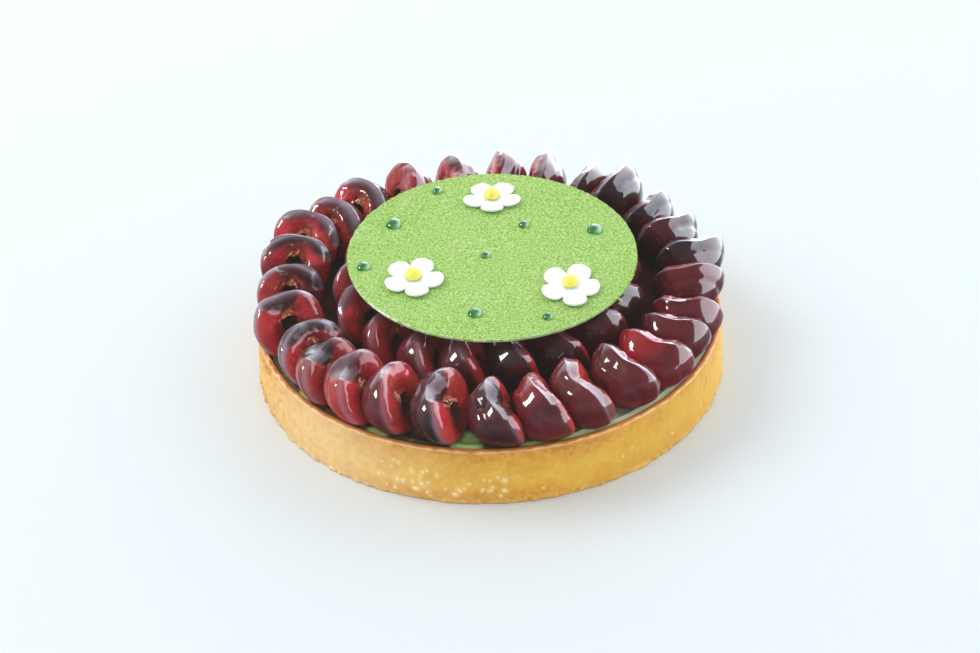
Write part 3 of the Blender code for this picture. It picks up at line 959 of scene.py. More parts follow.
def cut_frame(body):
    """A half's frame: origin on its cut face, X out along it, Y up it and Z into the dome.

    The cut face is the largest flat part of the half that looks on round the ring.
    """
    low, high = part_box(body.name)
    middle = 0.5 * (low + high)
    around = Vector((-middle.y, middle.x, 0.0)).normalized()
    faces = [(face.normal.copy(), face.area, face.center.copy())
             for face in body.data.polygons if face.normal.dot(around) > 0.6]

    def flat_with(normal):
        return [face for face in faces if face[0].dot(normal) > 0.9995]

    normal = max(faces, key=lambda face: sum(area for _, area, _ in flat_with(face[0])))[0]
    flat = flat_with(normal)
    total = sum(area for _, area, _ in flat)
    origin = sum((centre * area for _, area, centre in flat), Vector()) / total
    outward = Vector((0, 0, 1)).cross(-normal).normalized()
    rise = (-normal).cross(outward)
    matrix = Matrix((outward, rise, -normal)).transposed().to_4x4()
    matrix.translation = origin
    return matrix


class TART_OT_cherries(bpy.types.Operator):
    """Shape the glazed cherry halves of both rings"""

    bl_idname = "tart.cherries"
    bl_label = "Cherry halves"
    bl_options = {"REGISTER", "UNDO"}

    def execute(self, context):
        sizes = settings("cherry")
        material = cherry_material(sizes)
        names = sorted(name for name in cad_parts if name.startswith("cherry"))
        for index, name in enumerate(names):
            place = name.removeprefix("cherry_")
            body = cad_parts[name]
            levels = sizes.levels if place.startswith("outer") else sizes.levels - 1
            piece = smooth_copy(body, "half_" + place, levels)
            look = LOOKS.get(place, Look(ripe=random.Random(index).uniform(0.05, 0.4)))
            shape_half(piece, cut_frame(body), sizes, look, index)
            smooth(piece)
            dress(piece, material, [name])
        return {"FINISHED"}


def smooth_copy(body, name, levels):
    """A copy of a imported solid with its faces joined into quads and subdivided."""
    piece = new_object(name, body.data.copy())
    close_up(piece)
    edit(piece)
    bpy.ops.mesh.customdata_custom_splitnormals_clear()
    bpy.ops.mesh.mark_sharp(clear=True)
    bpy.ops.mesh.tris_convert_to_quads(face_threshold=math.radians(60),
                                       shape_threshold=math.radians(60))
    leave_edit()
    subdivide(piece, levels)
    return piece


def shape_half(piece, matrix, sizes, look, seed):
    """Round the hollow, swell the flesh, fold the skin over it and store the masks."""
    to_half = matrix.inverted()
    places = points_of(piece)
    local = carried(places, to_half)
    facing = -(normals_of(piece) @ np.array(to_half.to_3x3()).T)[:, 2]
    depth = local[:, 2].max()
    middle = 0.5 * (local[:, :2].max(0) + local[:, :2].min(0))
    spans = 0.5 * (local[:, :2].max(0) - local[:, :2].min(0))
    across, up = ((local[:, :2] - middle) / spans).T
    reach = np.hypot(across, up)
    turn = np.degrees(np.arctan2(up, across))
    front = 1.0 - ramp(local[:, 2], 0.55 * depth, 0.70 * depth)

    # the hollow, pinched from its sides
    inside = (reach < 0.53) & (front > 0.5) & (local[:, 2] > 0.02 * depth)
    floor = local[inside, 2].max() if inside.any() else 0.3 * depth
    down = np.clip(0.5 * local[:, 2] / floor + 0.5 * (1 - reach / 0.50), 0, 1)
    down = np.where(inside, down, 0.0)
    edge_at = sizes.hollow_share * (1 - look.pinch * np.cos(np.radians(turn)) ** 2)
    edge_at *= 1 + 0.20 * waves(places, 3.5 * MM, 250 + seed, 2) - 0.12 * ramp(up, 0.0, 0.5)
    pulled = reach * (1 + (2 * edge_at - 1) * (1 - ramp(reach, 0.5, 0.95)) * front)
    placed = np.where(inside, edge_at * (1 - 0.9 * down), pulled)
    moved = (placed / np.maximum(reach, 0.05))[:, None]
    local[:, :2] = middle + (local[:, :2] - middle) * moved
    local[:, 1] -= look.drop * spans[1] * (1 - ramp(reach, 0.45, 1.0)) * front
    local[:, 2] = np.where(inside, floor * sizes.hollow * ramp(down, 0.0, 0.75), local[:, 2])

    # where the flesh shows, and where the skin folds over it
    flesh = np.maximum(ramp(facing, 0.20, 0.45), inside)
    from_fold = apart(turn, look.skin_turn)
    reach_in = look.skin_reach * np.sqrt(np.clip(1 - (from_fold / look.skin_spread) ** 2, 0, 1))
    wander = 0.06 * waves(places, 3.6 * MM, 40 + seed, 3)
    border = 1.0 - 0.50 * reach_in + wander * (reach_in > 0)
    folded = ramp(reach_in, 0.0, 0.1) * front
    over = ramp(reach - border, -0.05, 0.05) * folded
    groove = hump(reach - border, 0.05) * ramp(reach_in, 0.0, 0.3) * front
    groove *= ramp(facing, 0.5, 0.8)
    flesh = flesh * (1 - ramp(reach - border, -0.10, 0.05) * folded)
    spilt = ramp(across, -0.1, 0.5) * (1 - over) * look.spill
    spilt *= 1 - ramp(local[:, 2] + 1.2 * MM * wander, 0.55 * depth, 0.85 * depth)
    flesh = np.maximum(flesh, spilt)

    # the swollen lobes, the fold's thickness and the notch
    share = np.clip((placed - edge_at) / (1 - edge_at), 0, 1)
    plateau = (1 - (2 * share - 1) ** 4) * ramp(facing, 0.3, 0.8)
    lobes = np.clip(0.35 + 0.65 * np.cos(np.radians(2 * turn)), 0, 1) * (1 - 0.5 * up ** 2)
    swell = sizes.bulge * plateau * lobes * (1 + 0.7 * waves(places, 6 * MM, 20 + seed, 1))
    back = 1.7 * MM * over * ramp(reach, 0.62, 1.08) + 0.16 * MM * groove
    back *= ramp(facing, -0.3, 0.7)
    dip = look.notch * hump(from_fold, 26) * ramp(placed, 0.35, 0.95)
    local[:, 1] -= 2.6 * MM * dip * (1 - ramp(local[:, 2], 0.3 * depth, 0.8 * depth))
    local[:, 2] -= np.where(inside, 0.0, swell) - back
    places = carried(local, matrix)
    put_points(piece, places)

    # relief along the normals
    frayed = hump(reach - 0.54, 0.10) * front * look.fibre
    frayed *= 1 - ramp(np.abs(apart(turn, look.fibre_turn)), 15, 50)
    relief = sizes.dents * waves(places, 8 * MM, 60 + seed, 1) * (1 - flesh)
    relief += (0.02 + 0.11 * flesh) * MM * waves(places, 1.6 * MM, 90 + seed, 2)
    relief += 0.40 * MM * waves(places, 1.1 * MM, 130 + seed, 2) * frayed
    arc = np.hypot(across - 0.95, up - 0.60) - 0.80
    fold = hump(arc, 0.06) * ramp(-facing, -0.2, 0.2) * ramp(up, -0.5, 0.0)
    relief += fold * look.fold * 0.40 * MM * (1 - ramp(up, 0.2, 0.7))
    put_points(piece, places + normals_of(piece) * relief[:, None])

    # what the fibres and the streaks of the flesh follow
    around = np.stack((across, up), axis=1) / np.maximum(reach, 0.05)[:, None]
    put_vectors(piece, "streak", np.column_stack((5 * around, 1.6 * reach)))
    put_values(piece, "across", across)
    put_values(piece, "up", np.where(facing > 0.2, up, FAR))

    # the masks of the glaze and the colours
    # rim and bloom: a pale painted reflection, partly milky glaze, along the cut's rim and on the
    # folded skin
    rim = look.rim * hump(reach - 1.0, 0.06) * ramp(facing, -0.1, 0.3)
    rim *= 1 - ramp(np.abs(apart(turn, 50)), 85, 115)
    bloom = look.bloom * over * ramp(reach, 0.80, 1.04) * ramp(facing, -0.2, 0.3)
    # painted shade: the flesh darkens round dark_turn, round the hollow and above it
    beside = np.abs(apart(turn, look.dark_turn)) + 200 * wander
    beside = 0.75 * (1 - ramp(beside, 0.3 * look.dark_spread, look.dark_spread))
    beside *= ramp(reach, 0.2, 0.5)
    close = 1 - ramp(placed - edge_at + 1.2 * wander, -0.05, 0.34)
    close *= 0.85 * (1 - ramp(up, 0.20, 0.45))
    above = 0.8 * hump(turn - 90, 40) * ramp(reach, 0.45, 0.60) * (1 + wander / 0.12)
    shade = look.dark * np.maximum(beside, np.maximum(close, above))
    inner_skin = over * (1 - ramp(reach, 0.80, 1.02)) * (1.1 - 0.7 * look.bloom)
    tall = places[:, 2] - places[:, 2].min()
    low_glaze = 1 - ramp(tall / tall.max(), 0.22, 0.66)
    dull = 0.80 * inner_skin + 0.85 * low_glaze + 0.5 * shade + 0.20 * flesh
    strands = ramp(waves(places, 1.3 * MM, 170 + seed, 2), -0.35, 0.25)
    put_masks(piece, flesh=flesh, hollow=down, fibre=frayed * strands,
              bloom=np.maximum(bloom, rim), shade=shade, gloss=1 - np.clip(dull, 0, 0.9),
              reach=reach, ripe=np.full(len(places), look.ripe),
              rosy=look.rosy + 0.45 * waves(places, 5 * MM, 290 + seed, 2),
              red_end=look.red_end * ramp(up - 0.6 * across, 0.45, 0.95))


class TART_OT_fibres(bpy.types.Operator):
    """Lay the loose fibres of fruit over the upper edges of the hollows"""

    bl_idname = "tart.fibres"
    bl_label = "Fibres of fruit"
    bl_options = {"REGISTER", "UNDO"}

    def execute(self, context):
        sizes = settings("cherry")
        curve = new_curve("fruit_fibres", sizes.strand, 1)
        curve.resolution_u = 4
        draw = random.Random(12)
        for place, look in LOOKS.items():
            if look.fibre_turn != Look().fibre_turn:
                half = bpy.data.objects["half_" + place]
                for _ in range(round(sizes.strand_count * look.fibre)):
                    self.add_strand(curve, half, look, draw)
        piece = mesh_of(curve)
        smooth(piece)
        dress(piece, fibre_material(sizes))
        return {"FINISHED"}

    def add_strand(self, curve, half, look, draw):
        """A wavy fibre that lies in an arch along the upper edge of the hollow."""
        across, up = values_of(half, "across"), values_of(half, "up")
        places, normals = points_of(half), normals_of(half)
        turn = math.radians(look.fibre_turn + draw.uniform(-26, 10))
        reach = draw.uniform(0.47, 0.54)
        spots = []
        for _ in range(draw.randint(4, 7)):
            near = np.hypot(across - reach * math.cos(turn), up - reach * math.sin(turn))
            index = int(near.argmin())
            lift = draw.uniform(-0.05, 0.22) * MM
            spots.append((places[index] + normals[index] * lift, draw.uniform(0.5, 1.3)))
            reach += draw.uniform(-0.035, 0.030)
            turn += draw.uniform(0.02, 0.13)
        add_spline(curve, spots)


def fibre_material(sizes):
    material, build, out = new_material("fruit_fibre", Roughness=0.45, Coat_Weight=0.8,
                                        Coat_Roughness=0.05, Subsurface_Weight=0.3,
                                        Subsurface_Scale=0.001)
    dark = tuple(channel * 0.65 for channel in sizes.fibre)
    pale = (sizes.fibre[0] * 1.3, sizes.fibre[1] * 1.5, sizes.fibre[2] * 1.7)
    build.feed(build.mix(mottle(build, 0.0015, 4.0), dark, pale), out["Base Color"])
    return material


def cherry_material(sizes):
    material, build, out = new_material(
        "glazed_cherry", Roughness=0.5, Specular_IOR_Level=0.1, Coat_Roughness=0.02,
        Coat_IOR=1.52, Subsurface_Weight=0.3, Subsurface_Scale=0.0025)
    out["Subsurface Radius"].default_value = (1.0, 0.22, 0.16)
    uneven = build.times(build.math("SUBTRACT", mottle(build, 0.011, 2.5), 0.5), 0.5)
    redness = build.math("ADD", build.mask("ripe"), uneven, clamp=True)
    skin = build.mix(redness, sizes.wine, sizes.crimson)
    skin = build.tint(skin, build.mask("red_end"), sizes.scarlet)
    radial = build.add("ShaderNodeAttribute", attribute_name="streak").outputs["Vector"]
    radial = build.add("ShaderNodeTexNoise", {"Vector": radial, "Scale": 2.4, "Detail": 4.0})
    streaks = build.between(radial.outputs["Fac"], 0.42, 0.70)
    hollow = build.mask("hollow")
    cut = build.mix(build.mask("rosy"), sizes.flesh_dark, sizes.flesh)
    cut = build.tint(cut, mottle(build, 0.006, 5.0, 0.45), sizes.flesh_brown)
    cut = build.tint(cut, mottle(build, 0.008, 6.0, 0.50), sizes.flesh_dark)
    cut = build.tint(cut, build.times(streaks, 0.16), sizes.flesh_light)
    darker = build.between(build.mask("reach"), 0.80, 1.02)
    cut = build.tint(cut, build.times(darker, 0.5), sizes.crimson)
    # painted shade beside and above the hollow, and the disc's painted shadow on the inner halves
    cut = build.tint(cut, build.mask("shade"), sizes.valley)
    # painted shade: the hollow darkens with its depth
    cut = build.tint(cut, build.between(hollow, 0.0, 0.20), sizes.hollow_red)
    cut = build.tint(cut, build.between(hollow, 0.15, 0.65), sizes.stone_dark)
    cut = build.tint(cut, build.mask("fibre"), sizes.fibre)
    colour = build.mix(build.mask("flesh"), skin, cut)
    # painted reflection, partly milky glaze, on the cut's rim and the folded skin
    colour = build.tint(colour, build.times(build.mask("bloom"), 0.85), sizes.bloom)
    build.feed(colour, out["Base Color"])
    build.feed(build.mask("gloss"), out["Coat Weight"])
    build.feed(grain(build, 0.004, 0.0004, 1.0)["Normal"], out["Normal"])
    return material


# ---------------------------------------------------------------- disc, drops and flowers


def disc_frame():
    """Where the disc's top is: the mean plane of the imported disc's large upper faces."""
    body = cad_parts["disc"]
    upper = [face for face in body.data.polygons if face.normal.z > 0.99]
    normal = sum((face.normal * face.area for face in upper), Vector()).normalized()
    level = max(upper, key=lambda face: face.area)
    low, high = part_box("disc")
    middle = 0.5 * (low + high)
    middle.z = level.center.z - (normal.x * (middle.x - level.center.x)
                                 + normal.y * (middle.y - level.center.y)) / normal.z
    along = (Vector((1, 0, 0)) - normal * normal.x).normalized()
    matrix = Matrix((along, normal.cross(along), normal)).transposed().to_4x4()
    matrix.translation = middle
    return matrix, 0.5 * (high.x - low.x)


# (middle, spread, strength) of where the disc's edge is worn, in degrees round it
WORN = ((-138, 16, 1.0), (-88, 20, 0.5))


class TART_OT_disc(bpy.types.Operator):
    """Make the thin disc with its velvet grain"""

    bl_idname = "tart.disc"
    bl_label = "Velvet disc"
    bl_options = {"REGISTER", "UNDO"}

    def execute(self, context):
        sizes = settings("disc")
        matrix, radius = disc_frame()
        deselect()
        bpy.ops.mesh.primitive_grid_add(x_subdivisions=sizes.cells, y_subdivisions=sizes.cells,
                                        size=2.0)
        piece = added("velvet_disc")
        places = points_of(piece)
        places[:, :2] *= np.sqrt(1 - 0.5 * places[:, 1::-1] ** 2)
        put_points(piece, places * radius)
        self.add_edge(piece, sizes)
        self.add_nap(piece, sizes, radius)
        piece.matrix_world = matrix
        set_in_place(piece)
        smooth(piece)
        dress(piece, velvet_material(sizes), ["disc"])
        return {"FINISHED"}

    def add_edge(self, piece, sizes):
        """Round the edge, go down round it and close the underside."""
        select_rim(piece)
        for share, scale in ((0.15, 1.001), (0.35, 1.0), (0.35, 0.9985), (0.15, 0.996)):
            drop = {"value": (0, 0, -share * sizes.thickness)}
            bpy.ops.mesh.extrude_region_move(TRANSFORM_OT_translate=drop)
            bpy.ops.transform.resize(value=(scale, scale, 1))
        close_rim(piece, 3, 0.6)

    def add_nap(self, piece, sizes, radius):
        places = points_of(piece)
        side, reach = polar(places)
        top = ramp(places[:, 2], -0.2 * sizes.thickness, 0)
        grains = waves(places, 0.75 * MM, 200, 2)
        soft = waves(places, 9 * MM, 201, 1)
        ragged = (0.18 * MM * waves(places, 0.9 * MM, 202, 2)
                  + 0.12 * MM * waves(places, 4 * MM, 203, 1))
        push_out(places, reach, ragged * ramp(reach, radius - 0.3 * MM, radius))
        places[:, 2] += top * (sizes.nap * grains + 0.10 * MM * soft)
        put_points(piece, places)
        worn = sum(share * hump(side - middle, spread) for middle, spread, share in WORN)
        worn *= ramp(reach, radius - 0.7 * MM, radius - 0.1 * MM)
        under = ramp(places[:, 2], -1.0 * sizes.thickness, -0.6 * sizes.thickness)
        put_masks(piece, nap=0.5 + 0.5 * grains, under=1.0 - under,
                  worn=worn * ramp(waves(places, 3 * MM, 204, 2), -0.5, 0.2))


def velvet_material(sizes):
    material, build, out = new_material("velvet_spray", Roughness=0.95)
    fine = grain(build, 0.0007, 0.00045, 2.0)
    # painted shade in the low grain and painted light on the high, with the velvet's own tones
    tips = build.math("ADD", fine["Grain"], build.times(build.mask("nap"), 0.35))
    tips = build.between(tips, 0.51, 0.85)
    colour = build.mix(build.between(tips, 0.0, 0.42), sizes.shade, sizes.green)
    colour = build.tint(colour, build.between(tips, 0.45, 1.0), sizes.tip)
    colour = build.tint(colour, mottle(build, 0.02, 2.0, 0.18), sizes.tip)
    colour = build.tint(colour, build.mask("under"), sizes.under)
    colour = build.tint(colour, build.mask("worn"), sizes.worn)
    build.feed(colour, out["Base Color"])
    build.feed(fine["Normal"], out["Normal"])
    return material


def drop_places(matrix):
    """(centre, width, height) of each drop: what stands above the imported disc's top."""
    local = carried(points_of(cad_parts["disc"]), matrix.inverted())
    raised = local[local[:, 2] > 0.25 * MM]
    drops = []
    while len(raised):
        near = np.hypot(*(raised[:, :2] - raised[0, :2]).T) < 6 * MM
        group = raised[near]
        raised = raised[~near]
        centre = 0.5 * (group[:, :2].max(0) + group[:, :2].min(0))
        drops.append((centre, np.ptp(group[:, 0]), group[:, 2].max()))
    return sorted(drops, key=lambda drop: tuple(drop[0]))


class TART_OT_drops(bpy.types.Operator):
    """Set the drops of gel on the disc"""

    bl_idname = "tart.drops"
    bl_label = "Drops of gel"
    bl_options = {"REGISTER", "UNDO"}

    def execute(self, context):
        sizes = settings("disc")
        matrix, _ = disc_frame()
        made = []
        for index, (centre, width, height) in enumerate(drop_places(matrix)):
            drop = ball(f"drop_{index}", segments=32, rings=20, radius=0.5 * width)
            edit(drop)
            bpy.ops.mesh.bisect(plane_co=(0, 0, -0.10 * width), plane_no=(0, 0, 1),
                                clear_inner=True, use_fill=True)
            leave_edit()
            places = points_of(drop)
            places[:, 2] *= 0.88 * height / (0.5 * width)
            places[:, 0] += 0.04 * width * waves(places, 3 * MM, 210 + index, 1)
            away = places[:, 0] - 0.9 * places[:, 1]
            put_masks(drop, glow=ramp(away, 0.15 * width, 0.7 * width))
            put_points(drop, places + (*centre, 0.0))
            made.append(drop)
        piece = joined(made, "gel_drops")
        piece.matrix_world = matrix
        set_in_place(piece)
        smooth(piece, 60)
        dress(piece, gel_material(sizes), ["disc"])
        return {"FINISHED"}


def gel_material(sizes):
    material, build, out = new_material("green_gel", Roughness=0.045, Transmission_Weight=0.45,
                                        Coat_Weight=0.35, Coat_Roughness=0.03, IOR=1.33)
    deep = (sizes.gel[0] * 0.6, sizes.gel[1] * 0.75, sizes.gel[2] * 0.6)
    colour = build.mix(mottle(build, 0.003, 2.0), sizes.gel, deep)
    colour = build.tint(colour, build.mask("glow"), sizes.gel_light)
    build.feed(colour, out["Base Color"])
    return material


# (x, y, z, size) in millimetres of the crumbs of velvet, which lie on CRUMBS_ON
CRUMBS = ((-28.8, -25.4, 32.7, 1.7), (-27.4, -25.2, 33.1, 0.9), (-30.3, -25.8, 32.3, 0.8))
CRUMBS_ON = "half_inner_05"
# the curl that hangs from the disc's edge: its side in degrees, its thickness, and its
# steps outwards and upwards from the edge in millimetres
CURL_SIDE = -35
CURL = 0.48 * MM
CURL_STEPS = ((-0.5, -0.2), (0.7, 0.5), (1.9, 0.2), (2.2, -0.9), (1.6, -1.7), (0.9, -1.5))


class TART_OT_crumbs(bpy.types.Operator):
    """Drop the crumbs and the curl of velvet that came off the disc's edge"""

    bl_idname = "tart.crumbs"
    bl_label = "Crumbs of velvet"
    bl_options = {"REGISTER", "UNDO"}

    def execute(self, context):
        sizes = settings("disc")
        made = [self.crumb(index, *crumb) for index, crumb in enumerate(CRUMBS)]
        piece = joined(made + [self.curl()], "velvet_crumbs")
        smooth(piece)
        material, build, out = new_material("velvet_crumb", Roughness=0.8)
        patches = mottle(build, 0.0015, 4.0)
        build.feed(build.mix(patches, sizes.crumb_green, sizes.crumb_pale), out["Base Color"])
        dress(piece, material)
        return {"FINISHED"}

    def crumb(self, index, x, y, z, size):
        half = points_of(bpy.data.objects[CRUMBS_ON])
        near = np.linalg.norm(half - np.array((x, y, z)) * MM, axis=1).argmin()
        piece = pebble(f"crumb_{index}", subdivisions=4, radius=0.5 * size * MM)
        places = points_of(piece)
        places *= 1.0 + 0.35 * waves(places, 0.7 * MM, 330 + index, 2)[:, None]
        put_points(piece, places * (1.0, 0.7, 0.55) + half[near])
        return piece

    def curl(self):
        matrix, radius = disc_frame()
        side = math.radians(CURL_SIDE)
        out = Vector((math.cos(side), math.sin(side), 0.0))
        curve = new_curve("velvet_curl", CURL, 2)
        add_spline(curve, [(matrix @ (out * (radius + away * MM) + Vector((0, 0, rise * MM))), 1.0)
                           for away, rise in CURL_STEPS])
        return mesh_of(curve)


# (heading in degrees, stretch along the picture's depth) of each flower
FLOWERS = {"left": (63, 1.08), "right": (63, 1.16), "back": (52, 0.90)}
PETALS = 5
# the flat lump that the petals meet on: its half sizes and how high its middle is
HUB = (3.2 * MM, 3.2 * MM, 0.8 * MM)
HUB_HEIGHT = 0.9 * MM


class TART_OT_flowers(bpy.types.Operator):
    """Mould the sugar flowers: five soft petals and a yellow middle each"""

    bl_idname = "tart.flowers"
    bl_label = "Sugar flowers"
    bl_options = {"REGISTER", "UNDO"}

    def execute(self, context):
        sizes = settings("disc")
        white = sugar_material("white_sugar", sizes.petal, 0.5)
        yellow = sugar_material("yellow_sugar", sizes.middle, 0.6)
        for index, (side, (heading, stretch)) in enumerate(FLOWERS.items()):
            petals = self.petals(sizes, side, heading, stretch, index)
            dress(petals, white, [f"flower_{side}"])
            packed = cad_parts[f"flower_centre_{side}"]
            middle = smooth_copy(packed, f"sugar_middle_{side}", 3)
            places, normals = points_of(middle), normals_of(middle)
            swell = 0.35 * MM + 0.06 * MM * waves(places, 1 * MM, 230 + index, 2)
            places += normals * swell[:, None]
            places[:, 2] -= 0.42 * MM * ramp(normals[:, 2], 0.0, 0.8)
            put_points(middle, places)
            smooth(middle)
            dress(middle, yellow, [f"flower_centre_{side}"])
        return {"FINISHED"}

    def petals(self, sizes, side, heading, stretch, seed):
        matrix, _ = disc_frame()
        low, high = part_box(f"flower_centre_{side}")
        centre = matrix.inverted() @ (0.5 * (low + high))
        draw = random.Random(seed)
        parts = []
        for index in range(PETALS):
            petal = ball(f"petal_{index}", segments=40, rings=24, radius=1.0)
            turn = math.radians(heading + 360 / PETALS * index + draw.uniform(-3, 3))
            length = sizes.petal_length * draw.uniform(0.96, 1.04)
            self.shape_petal(petal, sizes, centre, turn, length, stretch)
            parts.append(petal)
        hub = ball("hub", segments=32, rings=16, radius=1.0)
        put_points(hub, points_of(hub) * HUB + (centre.x, centre.y, HUB_HEIGHT))
        piece = joined(parts + [hub], f"sugar_petals_{side}")
        piece.matrix_world = matrix
        set_in_place(piece)
        smooth(piece)
        return piece

    def shape_petal(self, petal, sizes, centre, turn, length, stretch):
        """An egg-shaped pillow with its narrow end at the flower's middle and a dished top."""
        unit = points_of(petal)
        along, aside, high = unit.T
        wide = 0.5 * sizes.petal_width * (0.96 + 0.24 * along)
        rise = 0.5 * sizes.petal_height * (1.0 + 0.15 * along)
        out = sizes.petal_start + 0.5 * length * (1 + along)
        dish = 0.30 * MM * np.clip(high, 0, 1) * hump(aside, 0.5)
        tall = 0.5 * sizes.petal_height + rise * np.sign(high) * np.abs(high) ** 0.8 - dish
        tip = 0.55 * MM * ramp(along, 0.0, 1.0)
        places = np.empty_like(unit)
        places[:, 0] = centre.x + out * math.cos(turn) - wide * aside * math.sin(turn)
        places[:, 1] = (centre.y + (out * math.sin(turn) + wide * aside * math.cos(turn))
                        * stretch)
        places[:, 2] = tall + tip
        put_points(petal, places)


def sugar_material(name, colour, roughness):
    material, build, out = new_material(name, Roughness=roughness, Subsurface_Weight=0.3,
                                        Subsurface_Scale=0.0015)
    shade = tuple(channel * 0.92 for channel in colour)
    build.feed(build.mix(mottle(build, 0.004, 2.0), colour, shade), out["Base Color"])
    build.feed(grain(build, 0.0006, 0.00006, 3.0)["Normal"], out["Normal"])
    return material


# ---------------------------------------------------------------- stage

FLOOR_WIDTH = 12.0
SENSOR_WIDTH = 36.0

# What the camera sees behind the tart, the pale room that lights it from below and above, and
# the room that its glaze mirrors, whose brightest parts are lights and so above 1.
BACKDROP = (0.91, 0.96, 0.98)
LIT_LOW, LIT_HIGH = (0.84, 0.86, 0.86), (0.80, 0.82, 0.86)
MIRRORED_DARK = (0.03, 0.035, 0.04)
MIRRORED_TABLE = (0.45, 0.48, 0.56)
MIRRORED_WALL = (0.26, 0.28, 0.31)
BEHIND_LOW, BEHIND_HIGH = (0.90, 1.05, 1.15), (2.3, 2.6, 2.8)
MIRRORED_WINDOW = (6.2, 6.8, 7.5)
BLACK_LEVEL = (-0.012, -0.013, -0.012)


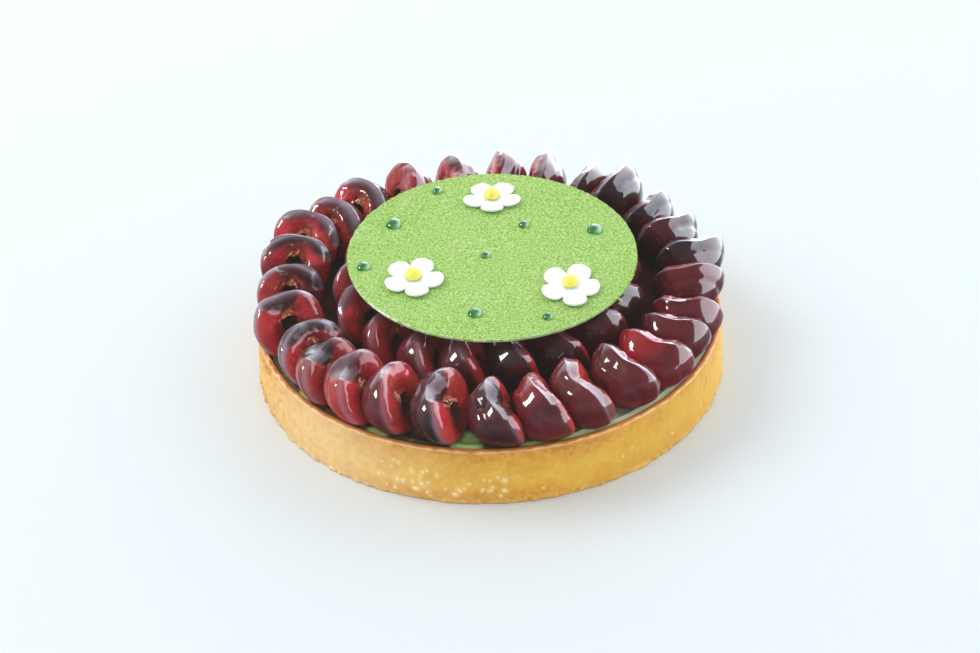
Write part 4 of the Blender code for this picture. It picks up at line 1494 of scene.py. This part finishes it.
class TART_OT_stage(bpy.types.Operator):
    """Lay the pale floor, and set the lights and the camera"""

    bl_idname = "tart.stage"
    bl_label = "Stage"
    bl_options = {"REGISTER", "UNDO"}

    def execute(self, context):
        sizes = settings("stage")
        self.lay_floor(sizes)
        self.set_lights()
        self.set_room()
        self.set_camera(sizes)
        self.set_film(context.scene.view_settings)
        return {"FINISHED"}

    def lay_floor(self, sizes):
        deselect()
        bpy.ops.mesh.primitive_plane_add(size=FLOOR_WIDTH, location=(0, 0, 0))
        floor = added("floor")
        material, build, out = new_material("pale_floor", Roughness=0.7)
        build.feed(sizes.floor, out["Base Color"])
        floor.data.materials.append(material)
        floor.visible_glossy = False

    def set_lights(self):
        """A small bright window on the left that only the glaze sees, a key and a fill."""
        sparkle = self.window("window_left", azimuth=186, elevation=22, distance=2.0,
                              size=(0.62, 0.70), radiance=34, colour=(1.0, 0.99, 0.97))
        sparkle.visible_diffuse = False
        key = self.window("key", azimuth=165, elevation=48, distance=2.2, size=(1.2, 1.2),
                          radiance=4.6, colour=(1.0, 0.99, 0.96))
        key.visible_glossy = False
        fill = self.window("fill", azimuth=10, elevation=35, distance=2.4, size=(2.6, 1.9),
                           radiance=0.7, colour=(0.95, 0.97, 1.0))
        fill.visible_glossy = False

    def set_room(self):
        """One room for the camera, one for the glaze and one for all other light."""
        world = bpy.data.worlds.new("room")
        bpy.context.scene.world = world
        world.use_nodes = True
        build = Nodes(world.node_tree)
        background = world.node_tree.nodes["Background"]
        rays = build.add("ShaderNodeLightPath").outputs
        direction = build.add("ShaderNodeSeparateXYZ",
                              {"Vector": build.add("ShaderNodeTexCoord").outputs["Generated"]})
        above = build.between(direction.outputs["Z"], -0.1, 0.7)
        lit = build.mix(above, LIT_LOW, LIT_HIGH)
        room = build.mix(rays["Is Glossy Ray"], lit, self.mirrored_room(build, direction))
        build.feed(build.tint(room, rays["Is Camera Ray"], BACKDROP), background.inputs["Color"])

    def mirrored_room(self, build, direction):
        """What the glaze mirrors: a wide window on the right, a table and a dim room."""
        turn = build.math("ARCTAN2", direction.outputs["Y"], direction.outputs["X"])
        height = direction.outputs["Z"]
        table = build.between(height, -0.80, -0.35)
        room = build.mix(table, MIRRORED_DARK, MIRRORED_TABLE)
        wall = build.between(height, -0.08, -0.02)
        room = build.tint(room, wall, MIRRORED_WALL)
        behind = build.between(direction.outputs["Y"], 0.35, 0.60)
        room = build.mix(behind, room, build.mix(wall, BEHIND_LOW, BEHIND_HIGH))
        wide = build.times(build.between(turn, -0.85, -0.80), build.between(turn, 1.80, 1.70))
        tall = build.times(build.between(height, -0.30, -0.24), build.between(height, 0.86, 0.83))
        return build.tint(room, build.times(wide, tall), MIRRORED_WINDOW)

    def window(self, name, azimuth, elevation, distance, size, radiance, colour):
        """A rectangular light that faces the tart from an azimuth counted from +X to +Y."""
        turn, rise = math.radians(azimuth), math.radians(elevation)
        away = Vector((math.cos(turn) * math.cos(rise), math.sin(turn) * math.cos(rise),
                       math.sin(rise)))
        light = bpy.data.lights.new(name, "AREA")
        light.shape = "RECTANGLE"
        light.size, light.size_y = size
        light.energy = radiance * math.pi * size[0] * size[1]
        light.color = colour
        lamp = new_object(name, light)
        lamp.location = away * distance
        lamp.rotation_euler = away.to_track_quat("Z", "Y").to_euler()
        lamp.visible_camera = False
        return lamp

    def set_film(self, film):
        """Plain tones with the faint veil of a bright room over the darkest ones."""
        film.view_transform = "Standard"
        film.use_curve_mapping = True
        film.curve_mapping.black_level = BLACK_LEVEL
        film.curve_mapping.update()

    def set_camera(self, sizes):
        camera = bpy.data.cameras.new("camera")
        camera.lens = sizes.lens
        camera.sensor_width = SENSOR_WIDTH
        camera.clip_start, camera.clip_end = 0.01, 50.0
        holder = new_object("camera", camera)
        turn = Matrix.Rotation(0.5 * math.pi - sizes.elevation, 4, "X")
        roll = Matrix.Rotation(-sizes.roll, 4, "Z")
        back = Vector((0, -math.cos(sizes.elevation), math.sin(sizes.elevation)))
        target = Vector((0, 0, sizes.target_height))
        holder.matrix_world = Matrix.Translation(target + back * sizes.distance) @ turn @ roll
        bpy.context.scene.camera = holder


# ---------------------------------------------------------------- panel and registration


OPERATORS = (TART_OT_pastry, TART_OT_blisters, TART_OT_cream, TART_OT_cherries, TART_OT_fibres,
             TART_OT_disc, TART_OT_crumbs, TART_OT_drops, TART_OT_flowers, TART_OT_stage)


class TART_PT_panel(bpy.types.Panel):
    """Buttons and settings of the tart"""

    bl_idname = "TART_PT_panel"
    bl_label = "Cherry tart"
    bl_space_type = "VIEW_3D"
    bl_region_type = "UI"
    bl_category = "Tart"

    def draw(self, context):
        for operator in OPERATORS:
            self.layout.operator(operator.bl_idname)
        for name, group in GROUPS.items():
            box = self.layout.box()
            box.label(text=name.capitalize())
            for key in group.__annotations__:
                box.prop(settings(name), key)


def register():
    for group in GROUPS.values():
        bpy.utils.register_class(group)
    for name, group in GROUPS.items():
        setattr(bpy.types.Scene, "tart_" + name, PointerProperty(type=group))
    for operator in OPERATORS:
        bpy.utils.register_class(operator)
    bpy.utils.register_class(TART_PT_panel)


def unregister():
    bpy.utils.unregister_class(TART_PT_panel)
    for operator in reversed(OPERATORS):
        bpy.utils.unregister_class(operator)
    for name, group in reversed(GROUPS.items()):
        delattr(bpy.types.Scene, "tart_" + name)
        bpy.utils.unregister_class(group)


def main():
    register()
    for operator in OPERATORS:
        group, name = operator.bl_idname.split(".")
        getattr(getattr(bpy.ops, group), name)()


if __name__ == "__main__":
    main()
